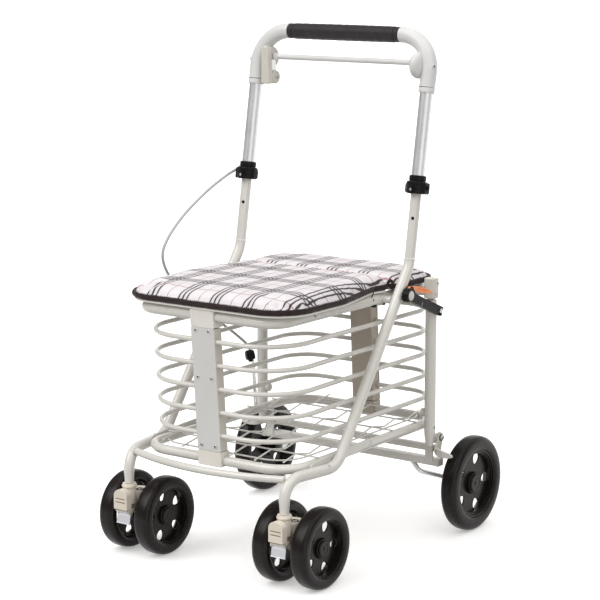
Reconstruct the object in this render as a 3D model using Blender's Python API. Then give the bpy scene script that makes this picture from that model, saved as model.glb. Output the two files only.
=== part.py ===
"""Shopping rollator: a tubular steel frame on twin front casters and two rear wheels, with a wire
basket, a padded lid that serves as a seat, and a height-adjustable handle with a full-width brake bar.

Metres, +Z up. The origin is on the ground below the centre of the outline, the user stands behind it
at +Y, and +X is the right-hand side. Every y below is measured from the rear axle, which lies
REAR_AXLE_Y behind the origin."""

import math

import bmesh
import bpy
from mathutils import Matrix, Vector

# ---------------------------------------------------------------- driving dimensions
REAR_AXLE_Y = 0.222

# handle columns
COLUMN_X = 0.1925
COLUMN_RAKE = 0.170  # dy/dz of the columns, 9.7 degrees back
COLUMN_Y0, COLUMN_Z0 = -0.1249, 0.662  # a point on the column axis
SEAM_Z = 0.536
LOWER_TUBE_R = 0.0096
LOWER_TUBE_TOP_Z = 0.775
UPPER_TUBE_R, UPPER_TUBE_BORE = 0.0120, 0.0105
UPPER_TUBE_Z = (0.655, 0.857)
HEIGHT_HOLE_Z = 0.609
COLLAR_Z = 0.663

# handle
HANDLE_Z = 0.934
HANDLE_Y = -0.0760
HANDLE_BEND = 0.066
SLEEVE_BOTTOM_Z = 0.832
SLEEVE_R = 0.0146
GRIP_HALF, GRIP_R = 0.1245, 0.0148
BAR_Y, BAR_Z, BAR_R = -0.0873, 0.8851, 0.0050
BAR_PIVOT_Y, BAR_PIVOT_Z = -0.0850, 0.8460

# side tubes
TUBE_R = 0.0098
ELBOW_Y, ELBOW_Z = -0.1490, 0.5225
FOOT_X, FOOT_Y, FOOT_Z = 0.1950, -0.3818, 0.1900
STEM_X, STEM_Y, STEM_Z = 0.1737, -0.5078, 0.1380
KINGPIN_R, KINGPIN_Z = 0.0050, 0.1030

# basket
SEAT_Z, SEAT_HALF, SEAT_FRONT_R, SEAT_REAR_R = 0.4640, 0.1530, 0.0450, 0.0500
FLOOR_Z, FLOOR_HALF, FLOOR_FRONT_R, FLOOR_REAR_R = 0.2030, 0.1640, 0.0700, 0.0600
FLOOR_R = 0.0095
RING_Z = [0.4215 - 0.0425 * i for i in range(5)]
RING_HALF, RING_FRONT_R, RING_REAR_R, RING_R = 0.1600, 0.0850, 0.0600, 0.0038
PANEL_TOP_Z, PLATE_TOP_Z, PLATE_BOTTOM_Z, PANEL_BOTTOM_Z = 0.4758, 0.4428, 0.2135, 0.1912
PLATE_HALF, CHANNEL_HALF, PLATE_T = 0.0255, 0.0215, 0.0020
RING_SETBACK = 0.0061  # ring centre behind a panel's outer face

# seat
LID_PIVOT_Y, LID_PIVOT_Z = -0.1740, 0.5020
BOARD_Z = (0.4763, 0.4799)
PAD_Z = (0.4803, 0.4885, 0.5030)

# rear legs
POST_X, POST_Y, POST_R = 0.1949, -0.0746, 0.0105
POST_TOP_Z, POST_BOTTOM_Z, POST_PIN_Z = 0.4765, 0.1720, 0.4650
REAR_WHEEL_X, REAR_WHEEL_R, REAR_WHEEL_W = 0.2423, 0.0905, 0.0300
BRAKE_PIVOT_Y, BRAKE_PIVOT_Z = -0.0540, 0.1850

# lock lever
LEVER_X = (0.2095, 0.2215)
LEVER_PIVOT = (-0.1832, 0.4750)
LEVER_DIR = (0.9238, -0.3827)
LEVER_REACH = 0.1205
STUD_REACH = 0.1130
TAB_PIVOT = (-0.1775, 0.4862)

# casters
CASTER_TRAIL = 0.0491
FRONT_WHEEL_R, FRONT_WHEEL_W, FRONT_WHEEL_OUT = 0.0725, 0.0310, 0.0407
LOCK_PIVOT_Y, LOCK_PIVOT_Z = -0.5215, 0.0835

GAP = 0.0003

# ---------------------------------------------------------------- clear the scene
for stale in list(bpy.data.objects):
    bpy.data.objects.remove(stale, do_unlink=True)


# ---------------------------------------------------------------- materials
def finish(name, colour, roughness, metallic=0.0):
    mat = bpy.data.materials.new(name)
    mat.use_nodes = True
    shader = mat.node_tree.nodes["Principled BSDF"]
    shader.inputs["Base Color"].default_value = (*colour, 1.0)
    shader.inputs["Roughness"].default_value = roughness
    shader.inputs["Metallic"].default_value = metallic
    mat.diffuse_color = (*colour, 1.0)
    return mat


FRAME_WHITE = finish("frame_white", (0.74, 0.73, 0.70), 0.35)
HANDLE_WHITE = finish("handle_white", (0.82, 0.82, 0.81), 0.38)
BEIGE = finish("beige", (0.66, 0.61, 0.52), 0.42)
SILVER = finish("silver", (0.72, 0.72, 0.74), 0.30, 0.9)
PANEL_GREY = finish("panel_grey", (0.60, 0.60, 0.59), 0.40)
STEEL = finish("steel", (0.55, 0.55, 0.55), 0.35, 1.0)
BLACK = finish("black_plastic", (0.025, 0.024, 0.025), 0.45)
TYRE = finish("black_wheel", (0.020, 0.018, 0.019), 0.60)
GRIP_BROWN = finish("grip_brown", (0.030, 0.022, 0.022), 0.70)
ORANGE = finish("orange", (0.85, 0.22, 0.03), 0.40)
CABLE_GREY = finish("cable_grey", (0.35, 0.35, 0.36), 0.45)
BOARD = finish("board", (0.70, 0.69, 0.67), 0.55)
CHECK = finish("check_fabric", (0.78, 0.74, 0.75), 0.85)

# ---------------------------------------------------------------- bodies: an empty on each joint axis
PIVOTS = {}


def pivot(name, x, y, z, parent=None):
    """An empty on a joint's axis; the pieces that turn or slide there are its children."""
    empty = bpy.data.objects.new(name, None)
    empty.empty_display_size = 0.02
    bpy.context.collection.objects.link(empty)
    here = Vector((x, y + REAR_AXLE_Y, z))
    base = Vector((0, 0, 0))
    if parent:
        empty.parent, base = PIVOTS[parent]
    empty.location = here - base
    PIVOTS[name] = (empty, here)


# ---------------------------------------------------------------- shape helpers
def mesh_of(bm, name="shape"):
    bmesh.ops.recalc_face_normals(bm, faces=bm.faces)
    mesh = bpy.data.meshes.new(name)
    bm.to_mesh(mesh)
    bm.free()
    return mesh


def merged(*meshes):
    """Several separate closed shapes as one mesh."""
    bm = bmesh.new()
    for mesh in meshes:
        bm.from_mesh(mesh)
    out = bpy.data.meshes.new("merged")
    bm.to_mesh(out)
    bm.free()
    return out


def add(name, mesh, mat, body=None, smooth=40.0):
    """Places a shape that was made in rear-axle coordinates, with its origin on its body's axis."""
    obj = bpy.data.objects.new(name, mesh)
    bpy.context.collection.objects.link(obj)
    mesh.name = name
    mesh.materials.clear()
    mesh.materials.append(mat)
    mesh.shade_smooth()
    mesh.set_sharp_from_angle(angle=math.radians(smooth))
    shift = Vector((0, REAR_AXLE_Y, 0))
    if body:
        obj.parent, here = PIVOTS[body]
        shift -= here
    mesh.transform(Matrix.Translation(shift))
    return obj


TOOLS = bpy.data.collections.new("tools")
bpy.context.scene.collection.children.link(TOOLS)


def boolean(obj, mesh, operation):
    """Adds or removes a shape, kept as a hidden wire tool."""
    tool = bpy.data.objects.new(f"{obj.name}_{operation.lower()}_{len(obj.modifiers)}", mesh)
    TOOLS.objects.link(tool)
    mesh.transform(Matrix.Translation((0, REAR_AXLE_Y, 0)))
    tool.hide_render = True
    tool.display_type = "WIRE"
    mod = obj.modifiers.new(f"{operation.lower()}_{len(obj.modifiers)}", "BOOLEAN")
    mod.operation = operation
    mod.solver = "EXACT"
    mod.object = tool


def cut(obj, *meshes):
    for mesh in meshes:
        boolean(obj, mesh, "DIFFERENCE")


def weld(obj, *meshes):
    for mesh in meshes:
        boolean(obj, mesh, "UNION")


def rounded(corners, radii, closed=False, step=15.0):
    """Straight runs between corner points, each corner rounded by an arc of the given radius."""
    corners = [Vector(c) for c in corners]
    count = len(corners)
    path = []
    for i, corner in enumerate(corners):
        if not closed and i in (0, count - 1):
            path.append(corner)
            continue
        radius = radii[i]
        before = (corners[i - 1] - corner).normalized()
        after = (corners[(i + 1) % count] - corner).normalized()
        opening = before.angle(after)
        if radius <= 0 or math.pi - opening < 0.02:
            path.append(corner)
            continue
        reach = radius / math.tan(opening / 2)
        centre = corner + (before + after).normalized() * (radius / math.sin(opening / 2))
        start = corner + before * reach - centre
        axis = start.cross(corner + after * reach - centre).normalized()
        turn = math.pi - opening
        steps = max(1, round(turn / math.radians(step)))
        for k in range(steps + 1):
            path.append(centre + Matrix.Rotation(turn * k / steps, 3, axis) @ start)
    return path


def swept(points, radius, sides, closed=False, taper=None):
    """A round tube along a path: a bevelled curve with filled ends, taken as a mesh."""
    curve = bpy.data.curves.new("route", "CURVE")
    curve.dimensions = "3D"
    curve.bevel_depth = radius
    curve.bevel_resolution = (sides - 4) // 2
    curve.use_fill_caps = True
    spline = curve.splines.new("POLY")
    spline.points.add(len(points) - 1)
    for i, point in enumerate(points):
        spline.points[i].co = (*point, 1.0)
        if taper:
            spline.points[i].radius = taper[i]
    spline.use_cyclic_u = closed
    guide = bpy.data.objects.new("route", curve)
    bpy.context.collection.objects.link(guide)
    bpy.context.view_layer.update()
    mesh = bpy.data.meshes.new_from_object(guide.evaluated_get(bpy.context.evaluated_depsgraph_get()))
    bpy.data.objects.remove(guide, do_unlink=True)
    bpy.data.curves.remove(curve)
    bm = bmesh.new()
    bm.from_mesh(mesh)
    bpy.data.meshes.remove(mesh)
    bmesh.ops.remove_doubles(bm, verts=bm.verts, dist=1e-6)
    return mesh_of(bm)


def rod(start, end, radius, sides=10):
    return swept([start, end], radius, sides)


def turned(profile, steps, centre, axis="X", closed=False):
    """A profile of (along, radius) pairs spun about an axis through the centre. A radius of 0 closes the
    shape on the axis; a closed profile makes a ring with a bore."""
    if isinstance(axis, str):
        axis = (1, 0, 0) if axis == "X" else (0, 0, 1)
    centre, along = Vector(centre), Vector(axis).normalized()
    side = Vector((0, 1, 0)) if abs(along.y) < 0.7 else Vector((1, 0, 0))
    side = (side - along * side.dot(along)).normalized()
    side.rotate(Matrix.Rotation(math.pi / steps, 3, along))
    bm = bmesh.new()
    line = [bm.verts.new(centre + along * reach + side * radius) for reach, radius in profile]
    edges = [bm.edges.new(pair) for pair in zip(line, line[1:])]
    if closed:
        edges.append(bm.edges.new((line[-1], line[0])))
    bmesh.ops.spin(bm, geom=line + edges, cent=centre, axis=along, angle=2 * math.pi, steps=steps, use_merge=True)
    bmesh.ops.remove_doubles(bm, verts=bm.verts, dist=1e-6)
    return mesh_of(bm)


def lofted(rings):
    """Closed outlines with as many corners each, bridged one to the next and filled at both ends."""
    bm = bmesh.new()
    loops = []
    for ring in rings:
        verts = [bm.verts.new(p) for p in ring]
        loops.append([bm.edges.new((verts[k], verts[(k + 1) % len(verts)])) for k in range(len(verts))])
    for one, two in zip(loops, loops[1:]):
        bmesh.ops.bridge_loops(bm, edges=one + two)
    for ends in (loops[0], loops[-1]):
        bmesh.ops.contextual_create(bm, geom=ends)
    return mesh_of(bm)


def prism(outline, low, high, axis="Z"):
    """A flat outline extruded from low to high. The outline's pairs are (x, y), (y, z) for X or (x, z) for Y."""
    place = {
        "X": lambda a, b, c: (c, a, b),
        "Y": lambda a, b, c: (a, c, b),
        "Z": lambda a, b, c: (a, b, c),
    }[axis]
    bm = bmesh.new()
    foot = [bm.verts.new(place(a, b, low)) for a, b in outline]
    face = bm.faces.new(foot)
    grown = bmesh.ops.extrude_face_region(bm, geom=[face])
    moved = [v for v in grown["geom"] if isinstance(v, bmesh.types.BMVert)]
    bmesh.ops.translate(bm, verts=moved, vec=Vector(place(0, 0, high - low)))
    return mesh_of(bm)


def block(x0, x1, y0, y1, z0, z1):
    return prism([(x0, y0), (x1, y0), (x1, y1), (x0, y1)], z0, z1)


def leaning(x0, x1, d0, d1, z0, z1, face, inward):
    """A box whose front and back follow a leaning panel face, between two depths behind it."""

    def corners(z):
        y0, y1 = face(z) + inward * d0, face(z) + inward * d1
        return [(x0, y0, z), (x1, y0, z), (x1, y1, z), (x0, y1, z)]

    return lofted([corners(z0), corners(z1)])


def stacked(levels):
    """Flat outlines one above another. Each level is (outline, z)."""
    return lofted([[(x, y, z) for x, y in outline] for outline, z in levels])


def capsule(a, ra, b, rb, steps=6):
    """The outline round two circles in a plane."""
    ax, ay = a
    bx, by = b
    heading = math.atan2(by - ay, bx - ax)
    lean = math.asin((ra - rb) / math.hypot(bx - ax, by - ay))
    out = []
    for k in range(steps + 1):
        t = heading - math.pi / 2 + lean + (math.pi - 2 * lean) * k / steps
        out.append((bx + rb * math.cos(t), by + rb * math.sin(t)))
    for k in range(steps + 1):
        t = heading + math.pi / 2 - lean + (math.pi + 2 * lean) * k / steps
        out.append((ax + ra * math.cos(t), ay + ra * math.sin(t)))
    return out


def column_y(z):
    return COLUMN_Y0 + COLUMN_RAKE * (z - COLUMN_Z0)


COLUMN_UP = Vector((0, COLUMN_RAKE, 1)).normalized()
SIDES = (("left", -1), ("right", 1))

# ---------------------------------------------------------------- joint axes
pivot("handle", 0, column_y(COLLAR_Z), COLLAR_Z)
pivot("brake_bar_pivot", 0, BAR_PIVOT_Y, BAR_PIVOT_Z, "handle")
pivot("seat_lid", 0, LID_PIVOT_Y, LID_PIVOT_Z)
pivot("rear_frame", 0, POST_Y, POST_PIN_Z)
pivot("rear_brake", 0, BRAKE_PIVOT_Y, BRAKE_PIVOT_Z, "rear_frame")
for hand, s in SIDES:
    pivot(f"height_button_{hand}_slide", s * 0.2145, column_y(COLLAR_Z), COLLAR_Z, "handle")
    pivot(f"lock_{hand}", s * 0.2155, *LEVER_PIVOT)
    pivot(f"lock_tab_{hand}_pivot", s * 0.2150, *TAB_PIVOT, f"lock_{hand}")
    pivot(f"caster_{hand}", s * STEM_X, STEM_Y, 0.120)
    pivot(f"caster_lock_{hand}_pivot", s * STEM_X, LOCK_PIVOT_Y, LOCK_PIVOT_Z, f"caster_{hand}")
    for place, off in (("outer", s), ("inner", -s)):
        pivot(
            f"front_wheel_{hand}_{place}_axle",
            s * STEM_X + off * FRONT_WHEEL_OUT,
            STEM_Y + CASTER_TRAIL,
            FRONT_WHEEL_R,
            f"caster_{hand}",
        )
    pivot(f"rear_wheel_{hand}_axle", s * REAR_WHEEL_X, 0, REAR_WHEEL_R, "rear_frame")

# ---------------------------------------------------------------- main frame
for hand, s in SIDES:
    path = rounded(
        [
            (s * COLUMN_X, column_y(SEAM_Z), SEAM_Z),
            (s * COLUMN_X, ELBOW_Y, ELBOW_Z),
            (s * FOOT_X, FOOT_Y, FOOT_Z),
            (s * STEM_X, STEM_Y, FOOT_Z),
            (s * STEM_X, STEM_Y, STEM_Z),
        ],
        [0, 0.048, 0.045, 0.026, 0],
        step=13,
    )
    tube = add(f"side_tube_{hand}", swept(path, TUBE_R, 10), FRAME_WHITE)
    weld(tube, rod((s * STEM_X, STEM_Y, STEM_Z + 0.004), (s * STEM_X, STEM_Y, KINGPIN_Z), KINGPIN_R, 8))

    column = add(
        f"column_tube_{hand}",
        rod(
            (s * COLUMN_X, column_y(SEAM_Z + 0.0005), SEAM_Z + 0.0005),
            (s * COLUMN_X, column_y(LOWER_TUBE_TOP_Z), LOWER_TUBE_TOP_Z),
            LOWER_TUBE_R,
            12,
        ),
        FRAME_WHITE,
    )
    hole_y = column_y(HEIGHT_HOLE_Z)
    cut(column, rod((s * COLUMN_X, hole_y - 0.014, HEIGHT_HOLE_Z), (s * COLUMN_X, hole_y - 0.003, HEIGHT_HOLE_Z), 0.0032, 8))

bow = []
for k in range(-6, 7):
    t = k / 6
    bow.append((0.1612 * t, -0.5240 + 0.0265 * t * t, 0.1930 - 0.0015 * t * t))
add("front_crossbar", swept(bow, 0.0065, 8), FRAME_WHITE)

for hand, s in SIDES:
    start, end = Vector((s * 0.1793, -0.4020, 0.1935)), Vector((s * 0.1768, -0.2430, 0.2125))
    across, over = Vector((0.00125, 0, 0)), Vector((0, 0, 0.0075))
    strip = [[p - across - over, p + across - over, p + across + over, p - across + over] for p in (start, end)]
    gusset = add(f"gusset_{hand}", lofted(strip), FRAME_WHITE)
    for spot in (start.lerp(end, 0.06), start.lerp(end, 0.94)):
        weld(gusset, rod(spot - Vector((s * 0.0026, 0, 0)), spot + Vector((s * 0.0003, 0, 0)), 0.0045, 8))


# ---------------------------------------------------------------- basket module
def front_face(z):
    return -0.5106 + 0.0758 * (0.4387 - z)


def rear_face(z):
    return 0.0010 + 0.0600 * (0.4387 - z)


def loop(z, half, front, rear, front_r, rear_r, step=15.0):
    return rounded(
        [(-half, front, z), (half, front, z), (half, rear, z), (-half, rear, z)],
        [front_r, front_r, rear_r, rear_r],
        closed=True,
        step=step,
    )


SEAT_FRONT_Y, SEAT_REAR_Y = -0.5000, -0.0130
FLOOR_FRONT_Y, FLOOR_REAR_Y = -0.4802, 0.0030
seat_frame = add(
    "seat_frame",
    swept(loop(SEAT_Z, SEAT_HALF, SEAT_FRONT_Y, SEAT_REAR_Y, SEAT_FRONT_R, SEAT_REAR_R, 18), TUBE_R, 10, True),
    FRAME_WHITE,
)
# short stubs carry the seat frame between the side tubes
weld(seat_frame, *[rod((s * (SEAT_HALF + 0.003), -0.1905, SEAT_Z), (s * 0.1825, -0.1905, SEAT_Z), 0.0065, 8) for s in (-1, 1)])
add(
    "floor_frame",
    swept(loop(FLOOR_Z, FLOOR_HALF, FLOOR_FRONT_Y, FLOOR_REAR_Y, FLOOR_FRONT_R, FLOOR_REAR_R, 18), FLOOR_R, 10, True),
    FRAME_WHITE,
)
for number, z in enumerate(RING_Z, 1):
    front, rear = front_face(z) + RING_SETBACK, rear_face(z) - RING_SETBACK
    path = loop(z, RING_HALF, front, rear, RING_FRONT_R, RING_REAR_R, step=18)
    add(f"basket_ring_{number}", swept(path, RING_R, 6, True), FRAME_WHITE)

WIRE_R = 0.0016
grid_low, grid_high = FLOOR_Z + FLOOR_R + GAP + WIRE_R, FLOOR_Z + FLOOR_R + GAP + 2.2 * WIRE_R
grid = add("floor_grid", rod((-0.1685, -0.240, grid_low), (0.1685, -0.240, grid_low), WIRE_R, 4), FRAME_WHITE)
weld(grid, merged(*[rod((x, -0.4850 + 0.0175 * (abs(x) > 0.1), grid_high), (x, 0.0080 - 0.012 * (abs(x) > 0.1), grid_high), WIRE_R, 4) for x in (-0.135, -0.081, -0.027, 0.027, 0.081, 0.135)]))
weld(grid, merged(*[rod((-0.1685, y, grid_low), (0.1685, y, grid_low), WIRE_R, 4) for y in (-0.400, -0.320, -0.160, -0.080)]))

for where, face, inward, seat_y, floor_y in (
    ("front", front_face, 1, SEAT_FRONT_Y, FLOOR_FRONT_Y),
    ("rear", rear_face, -1, SEAT_REAR_Y, FLOOR_REAR_Y),
):
    plate = add(
        f"{where}_panel_plate",
        leaning(-PLATE_HALF, PLATE_HALF, 0, PLATE_T, PLATE_BOTTOM_Z, PLATE_TOP_Z, face, inward),
        PANEL_GREY,
    )
    channel = add(
        f"{where}_panel_channel",
        leaning(-CHANNEL_HALF, CHANNEL_HALF, PLATE_T + GAP, 0.0225, PLATE_BOTTOM_Z + 0.0100, PLATE_TOP_Z - 0.0100, face, inward),
        BEIGE,
    )
    weld(
        channel,
        leaning(-PLATE_HALF, PLATE_HALF, 0, 0.0255, PLATE_TOP_Z + GAP, PANEL_TOP_Z, face, inward),
        leaning(-PLATE_HALF, PLATE_HALF, 0, 0.0255, PANEL_BOTTOM_Z, PLATE_BOTTOM_Z - GAP, face, inward),
        leaning(-CHANNEL_HALF + 0.0001, CHANNEL_HALF - 0.0001, PLATE_T + 2 * GAP, 0.0220, PLATE_BOTTOM_Z - 0.004, PLATE_TOP_Z + 0.004, face, inward),
    )
    cut(
        channel,
        leaning(-CHANNEL_HALF + 0.002, CHANNEL_HALF - 0.002, -0.001, 0.0205, PLATE_BOTTOM_Z + 0.0020, PLATE_TOP_Z - 0.0020, face, inward),
        rod((-0.04, seat_y, SEAT_Z), (0.04, seat_y, SEAT_Z), TUBE_R + 0.0004, 12),
        rod((-0.04, floor_y, FLOOR_Z), (0.04, floor_y, FLOOR_Z), FLOOR_R + 0.0004, 12),
        merged(
            *[
                prism(
                    [
                        (face(z) - inward * 0.004, z - RING_R - 0.0004),
                        (face(z) + inward * (RING_SETBACK + RING_R + 0.0004), z - RING_R - 0.0004),
                        (face(z) + inward * (RING_SETBACK + RING_R + 0.0004), z + RING_R + 0.0004),
                        (face(z) - inward * 0.004, z + RING_R + 0.0004),
                    ],
                    -0.03,
                    0.03,
                    "X",
                )
                for z in RING_Z
            ]
        ),
    )

# brackets at the rear corners of the seat frame, open below, each with the pin of a rear leg
for hand, s in SIDES:
    x_in, x_out, wall = 0.1812, 0.2088, 0.0020
    y0, y1 = -0.0895, -0.0600
    bracket = add(f"rear_bracket_{hand}", block(*sorted((s * x_in, s * x_out)), y0, y1, 0.4470, 0.4900), BEIGE)
    cut(bracket, block(*sorted((s * (x_in + wall), s * (x_out - wall))), y0 - 0.01, y1 + 0.01, 0.4400, 0.4880))
    weld(
        bracket,
        block(*sorted((s * (SEAT_HALF + TUBE_R + 0.0006), s * (x_in + 0.001))), -0.0850, -0.0650, 0.4570, 0.4700),
        rod((s * (x_in + 0.0005), POST_Y, POST_PIN_Z), (s * (x_out - 0.0005), POST_Y, POST_PIN_Z), 0.0040, 8),
    )

# ---------------------------------------------------------------- handle
for hand, s in SIDES:
    base = (s * COLUMN_X, column_y(UPPER_TUBE_Z[0]), UPPER_TUBE_Z[0])
    length = (UPPER_TUBE_Z[1] - UPPER_TUBE_Z[0]) / COLUMN_UP.z
    add(
        f"upper_tube_{hand}",
        turned(
            [(0, UPPER_TUBE_BORE), (0, UPPER_TUBE_R), (length, UPPER_TUBE_R), (length, UPPER_TUBE_BORE)],
            12,
            base,
            COLUMN_UP,
            closed=True,
        ),
        SILVER,
        "handle",
    )
    centre = Vector((s * COLUMN_X, column_y(COLLAR_Z), COLLAR_Z))
    collar = add(
        f"collar_{hand}",
        turned(
            [(-0.0113, 0.0105), (-0.0113, 0.0195), (0.0107, 0.0195), (0.0107, 0.0146), (0.0217, 0.0146), (0.0217, 0.0126), (-0.0085, 0.0126), (-0.0085, 0.0105)],
            16,
            centre,
            COLUMN_UP,
            closed=True,
        ),
        BLACK,
        "handle",
    )
    wing = lofted([
        [centre + Vector((s * 0.0135, y, 0)) + COLUMN_UP * z for y, z in ((-0.009, -0.0110), (0.009, -0.0110), (0.009, 0.0095), (-0.009, 0.0095))],
        [centre + Vector((s * 0.0225, y, 0)) + COLUMN_UP * z for y, z in ((-0.007, -0.0105), (0.007, -0.0105), (0.007, 0.0085), (-0.007, 0.0085))],
    ])
    weld(collar, wing)
    cut(collar, rod(centre + Vector((s * 0.0118, 0, 0)), centre + Vector((s * 0.0300, 0, 0)), 0.0048, 8))
    add(
        f"height_button_{hand}",
        turned([(0.0163, 0), (0.0163, 0.0040), (0.0245, 0.0040), (0.0260, 0.0028), (0.0260, 0)], 10, centre, (s, 0, 0)),
        BLACK,
        f"height_button_{hand}_slide",
    )

    foot = Vector((s * COLUMN_X, column_y(SLEEVE_BOTTOM_Z), SLEEVE_BOTTOM_Z))
    top = Vector((s * 0.1945, HANDLE_Y, HANDLE_Z))
    route = rounded([foot, top, (s * (GRIP_HALF + 0.0005), HANDLE_Y, HANDLE_Z)], [0, HANDLE_BEND, 0], step=15)
    elbow = add(f"elbow_{hand}", swept(route, SLEEVE_R, 12), HANDLE_WHITE, "handle")
    cut(
        elbow,
        rod(foot - COLUMN_UP * 0.005, foot + COLUMN_UP * 0.0262, UPPER_TUBE_R + 0.0009, 12),
        rod((s * (GRIP_HALF - 0.01), HANDLE_Y, HANDLE_Z), (s * 0.1400, HANDLE_Y, HANDLE_Z), 0.0112, 12),
    )

add("handle_tube", rod((-0.1396, HANDLE_Y, HANDLE_Z), (0.1396, HANDLE_Y, HANDLE_Z), 0.0106, 12), SILVER, "handle")
add(
    "grip",
    turned([(-GRIP_HALF, 0.0112), (-GRIP_HALF, GRIP_R), (GRIP_HALF, GRIP_R), (GRIP_HALF, 0.0112)], 16, (0, HANDLE_Y, HANDLE_Z), "X", closed=True),
    GRIP_BROWN,
    "handle",
)


def elbow_clearance(s):
    foot = Vector((s * COLUMN_X, column_y(SLEEVE_BOTTOM_Z - 0.02), SLEEVE_BOTTOM_Z - 0.02))
    top = Vector((s * 0.1945, HANDLE_Y, HANDLE_Z))
    route = rounded([foot, top, (s * GRIP_HALF, HANDLE_Y, HANDLE_Z)], [0, HANDLE_BEND, 0], step=15)
    return swept(route, SLEEVE_R + 0.0006, 12)


# right-hand boss: a domed disc with the slot that guides the bar's free end
boss = add(
    "brake_boss_right",
    turned(
        [(0.1782, 0), (0.1782, 0.0240), (0.1690, 0.0240), (0.1652, 0.0205), (0.1635, 0.0130), (0.1635, 0)],
        16,
        (0, -0.0940, 0.8810),
    ),
    HANDLE_WHITE,
    "handle",
)
cut(boss, block(0.1580, 0.1745, -0.0936, -0.0620, 0.8764, 0.8926), elbow_clearance(1))

# left-hand housing: plate on the elbow, disc, and the lower boss that holds the bar's pivot
housing = add("brake_housing_left", prism([(-0.1700, -0.1085), (-0.1530, -0.1085), (-0.1530, -0.0955), (-0.1700, -0.0955)], 0.8375, 0.9045), BEIGE, "handle")
weld(
    housing,
    turned([(-0.1760, 0), (-0.1760, 0.0205), (-0.1640, 0.0205), (-0.1614, 0.0180), (-0.1614, 0)], 16, (0, -0.0815, 0.8830)),
    turned([(-0.1776, 0), (-0.1776, 0.0125), (-0.1520, 0.0125), (-0.1520, 0)], 12, (0, BAR_PIVOT_Y, BAR_PIVOT_Z)),
)
cut(housing, block(-0.1608, -0.1552, -0.0950, -0.0500, 0.8320, 0.9200), elbow_clearance(-1))
weld(housing, rod((-0.1640, BAR_PIVOT_Y, BAR_PIVOT_Z), (-0.1535, BAR_PIVOT_Y, BAR_PIVOT_Z), 0.0030, 8))

bar = add("brake_bar", rod((-0.1578, BAR_Y, BAR_Z), (0.1718, BAR_Y, BAR_Z), BAR_R, 10), HANDLE_WHITE, "brake_bar_pivot")
weld(bar, prism(capsule((BAR_PIVOT_Y, BAR_PIVOT_Z), 0.0075, (BAR_Y, BAR_Z), 0.0058, 5), -0.1596, -0.1566, "X"))
cut(bar, rod((-0.1700, BAR_PIVOT_Y, BAR_PIVOT_Z), (-0.1500, BAR_PIVOT_Y, BAR_PIVOT_Z), 0.0036, 8))


# ---------------------------------------------------------------- seat
def mirrored_outline(right, radii):
    """A symmetric outline from the corners of its right half, listed from rear to front."""
    corners = [(x, y, 0) for x, y in right] + [(-x, y, 0) for x, y in reversed(right)]
    path = rounded(corners, radii + radii[::-1], closed=True, step=22)
    return [(p.x, p.y) for p in path]


def pad_outline(inset):
    right = [(0.1630, -0.1790), (0.1665, -0.2620), (0.1930, -0.3450), (0.1930, -0.5185)]
    right = [(x - inset, y + inset * (1 if y < -0.4 else -1 if y > -0.2 else 0)) for x, y in right]
    return mirrored_outline(right, [0.012, 0.050, 0.060, 0.062])


def flap_outline(inset):
    right = [(0.1790 - inset, -0.0200 - inset), (0.1790 - inset, -0.1700 + inset)]
    return mirrored_outline(right, [0.045, 0.016])


add("seat_board", prism(pad_outline(0.013), *BOARD_Z), BOARD, "seat_lid")
add(
    "seat_pad",
    stacked([(pad_outline(0.0040), PAD_Z[0]), (pad_outline(0), PAD_Z[1]), (pad_outline(0.0110), PAD_Z[2])]),
    CHECK,
    "seat_lid",
)
add(
    "rear_flap_pad",
    stacked([(flap_outline(0.0040), BOARD_Z[0]), (flap_outline(0), 0.4875), (flap_outline(0.0100), PAD_Z[2])]),
    CHECK,
)

# ---------------------------------------------------------------- rear legs
lever_d, lever_n = Vector((0, *LEVER_DIR)), Vector((0, -LEVER_DIR[1], LEVER_DIR[0]))
lever_o = Vector((0, *LEVER_PIVOT))
stud = lever_o + lever_d * STUD_REACH

for hand, s in SIDES:
    post = add(
        f"post_{hand}",
        swept(
            [(s * POST_X, POST_Y, z) for z in (POST_BOTTOM_Z, 0.1950, POST_TOP_Z - 0.004, POST_TOP_Z)],
            POST_R,
            10,
            taper=[0.66, 1.0, 1.0, 0.80],
        ),
        FRAME_WHITE,
        "rear_frame",
    )
    cut(post, rod((s * 0.17, POST_Y, POST_PIN_Z), (s * 0.22, POST_Y, POST_PIN_Z), 0.0046, 8))
    weld(post, rod((s * POST_X, stud.y, stud.z), (s * 0.2203, stud.y, stud.z), 0.0026, 8))

BEAM_HALF = 0.2055
beam = add("axle_beam", block(-BEAM_HALF, BEAM_HALF, -0.0615, -0.0445, 0.1290, 0.1430), FRAME_WHITE, "rear_frame")
cut(beam, block(-BEAM_HALF + 0.002, BEAM_HALF - 0.002, -0.0599, -0.0461, 0.1200, 0.1414))
axle_route = rounded(
    [
        (-0.2480, 0, REAR_WHEEL_R),
        (-0.2120, 0, REAR_WHEEL_R),
        (-0.1600, -0.0530, 0.1120),
        (-0.1380, -0.0530, 0.1358),
        (0.1380, -0.0530, 0.1358),
        (0.1600, -0.0530, 0.1120),
        (0.2120, 0, REAR_WHEEL_R),
        (0.2480, 0, REAR_WHEEL_R),
    ],
    [0, 0.020, 0.014, 0.012, 0.012, 0.014, 0.020, 0],
    step=22,
)
cut(beam, swept(axle_route, 0.0054, 8))
for hand, s in SIDES:
    weld(
        beam,
        block(*sorted((s * 0.1780, s * 0.1945)), -0.0637, -0.0603, 0.1320, 0.1950),
        block(*sorted((s * 0.1785, s * 0.2035)), -0.0636, -0.0604, 0.1730, 0.1945),
        block(*sorted((s * 0.2005, s * 0.2034)), -0.0630, -0.0470, 0.1740, 0.1940),
        turned([(0.2010, 0), (0.2010, 0.0030), (0.2090, 0.0030), (0.2090, 0.0055), (0.2112, 0.0055), (0.2112, 0)], 10, (0, BRAKE_PIVOT_Y, BRAKE_PIVOT_Z), (s, 0, 0)),
    )
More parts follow.
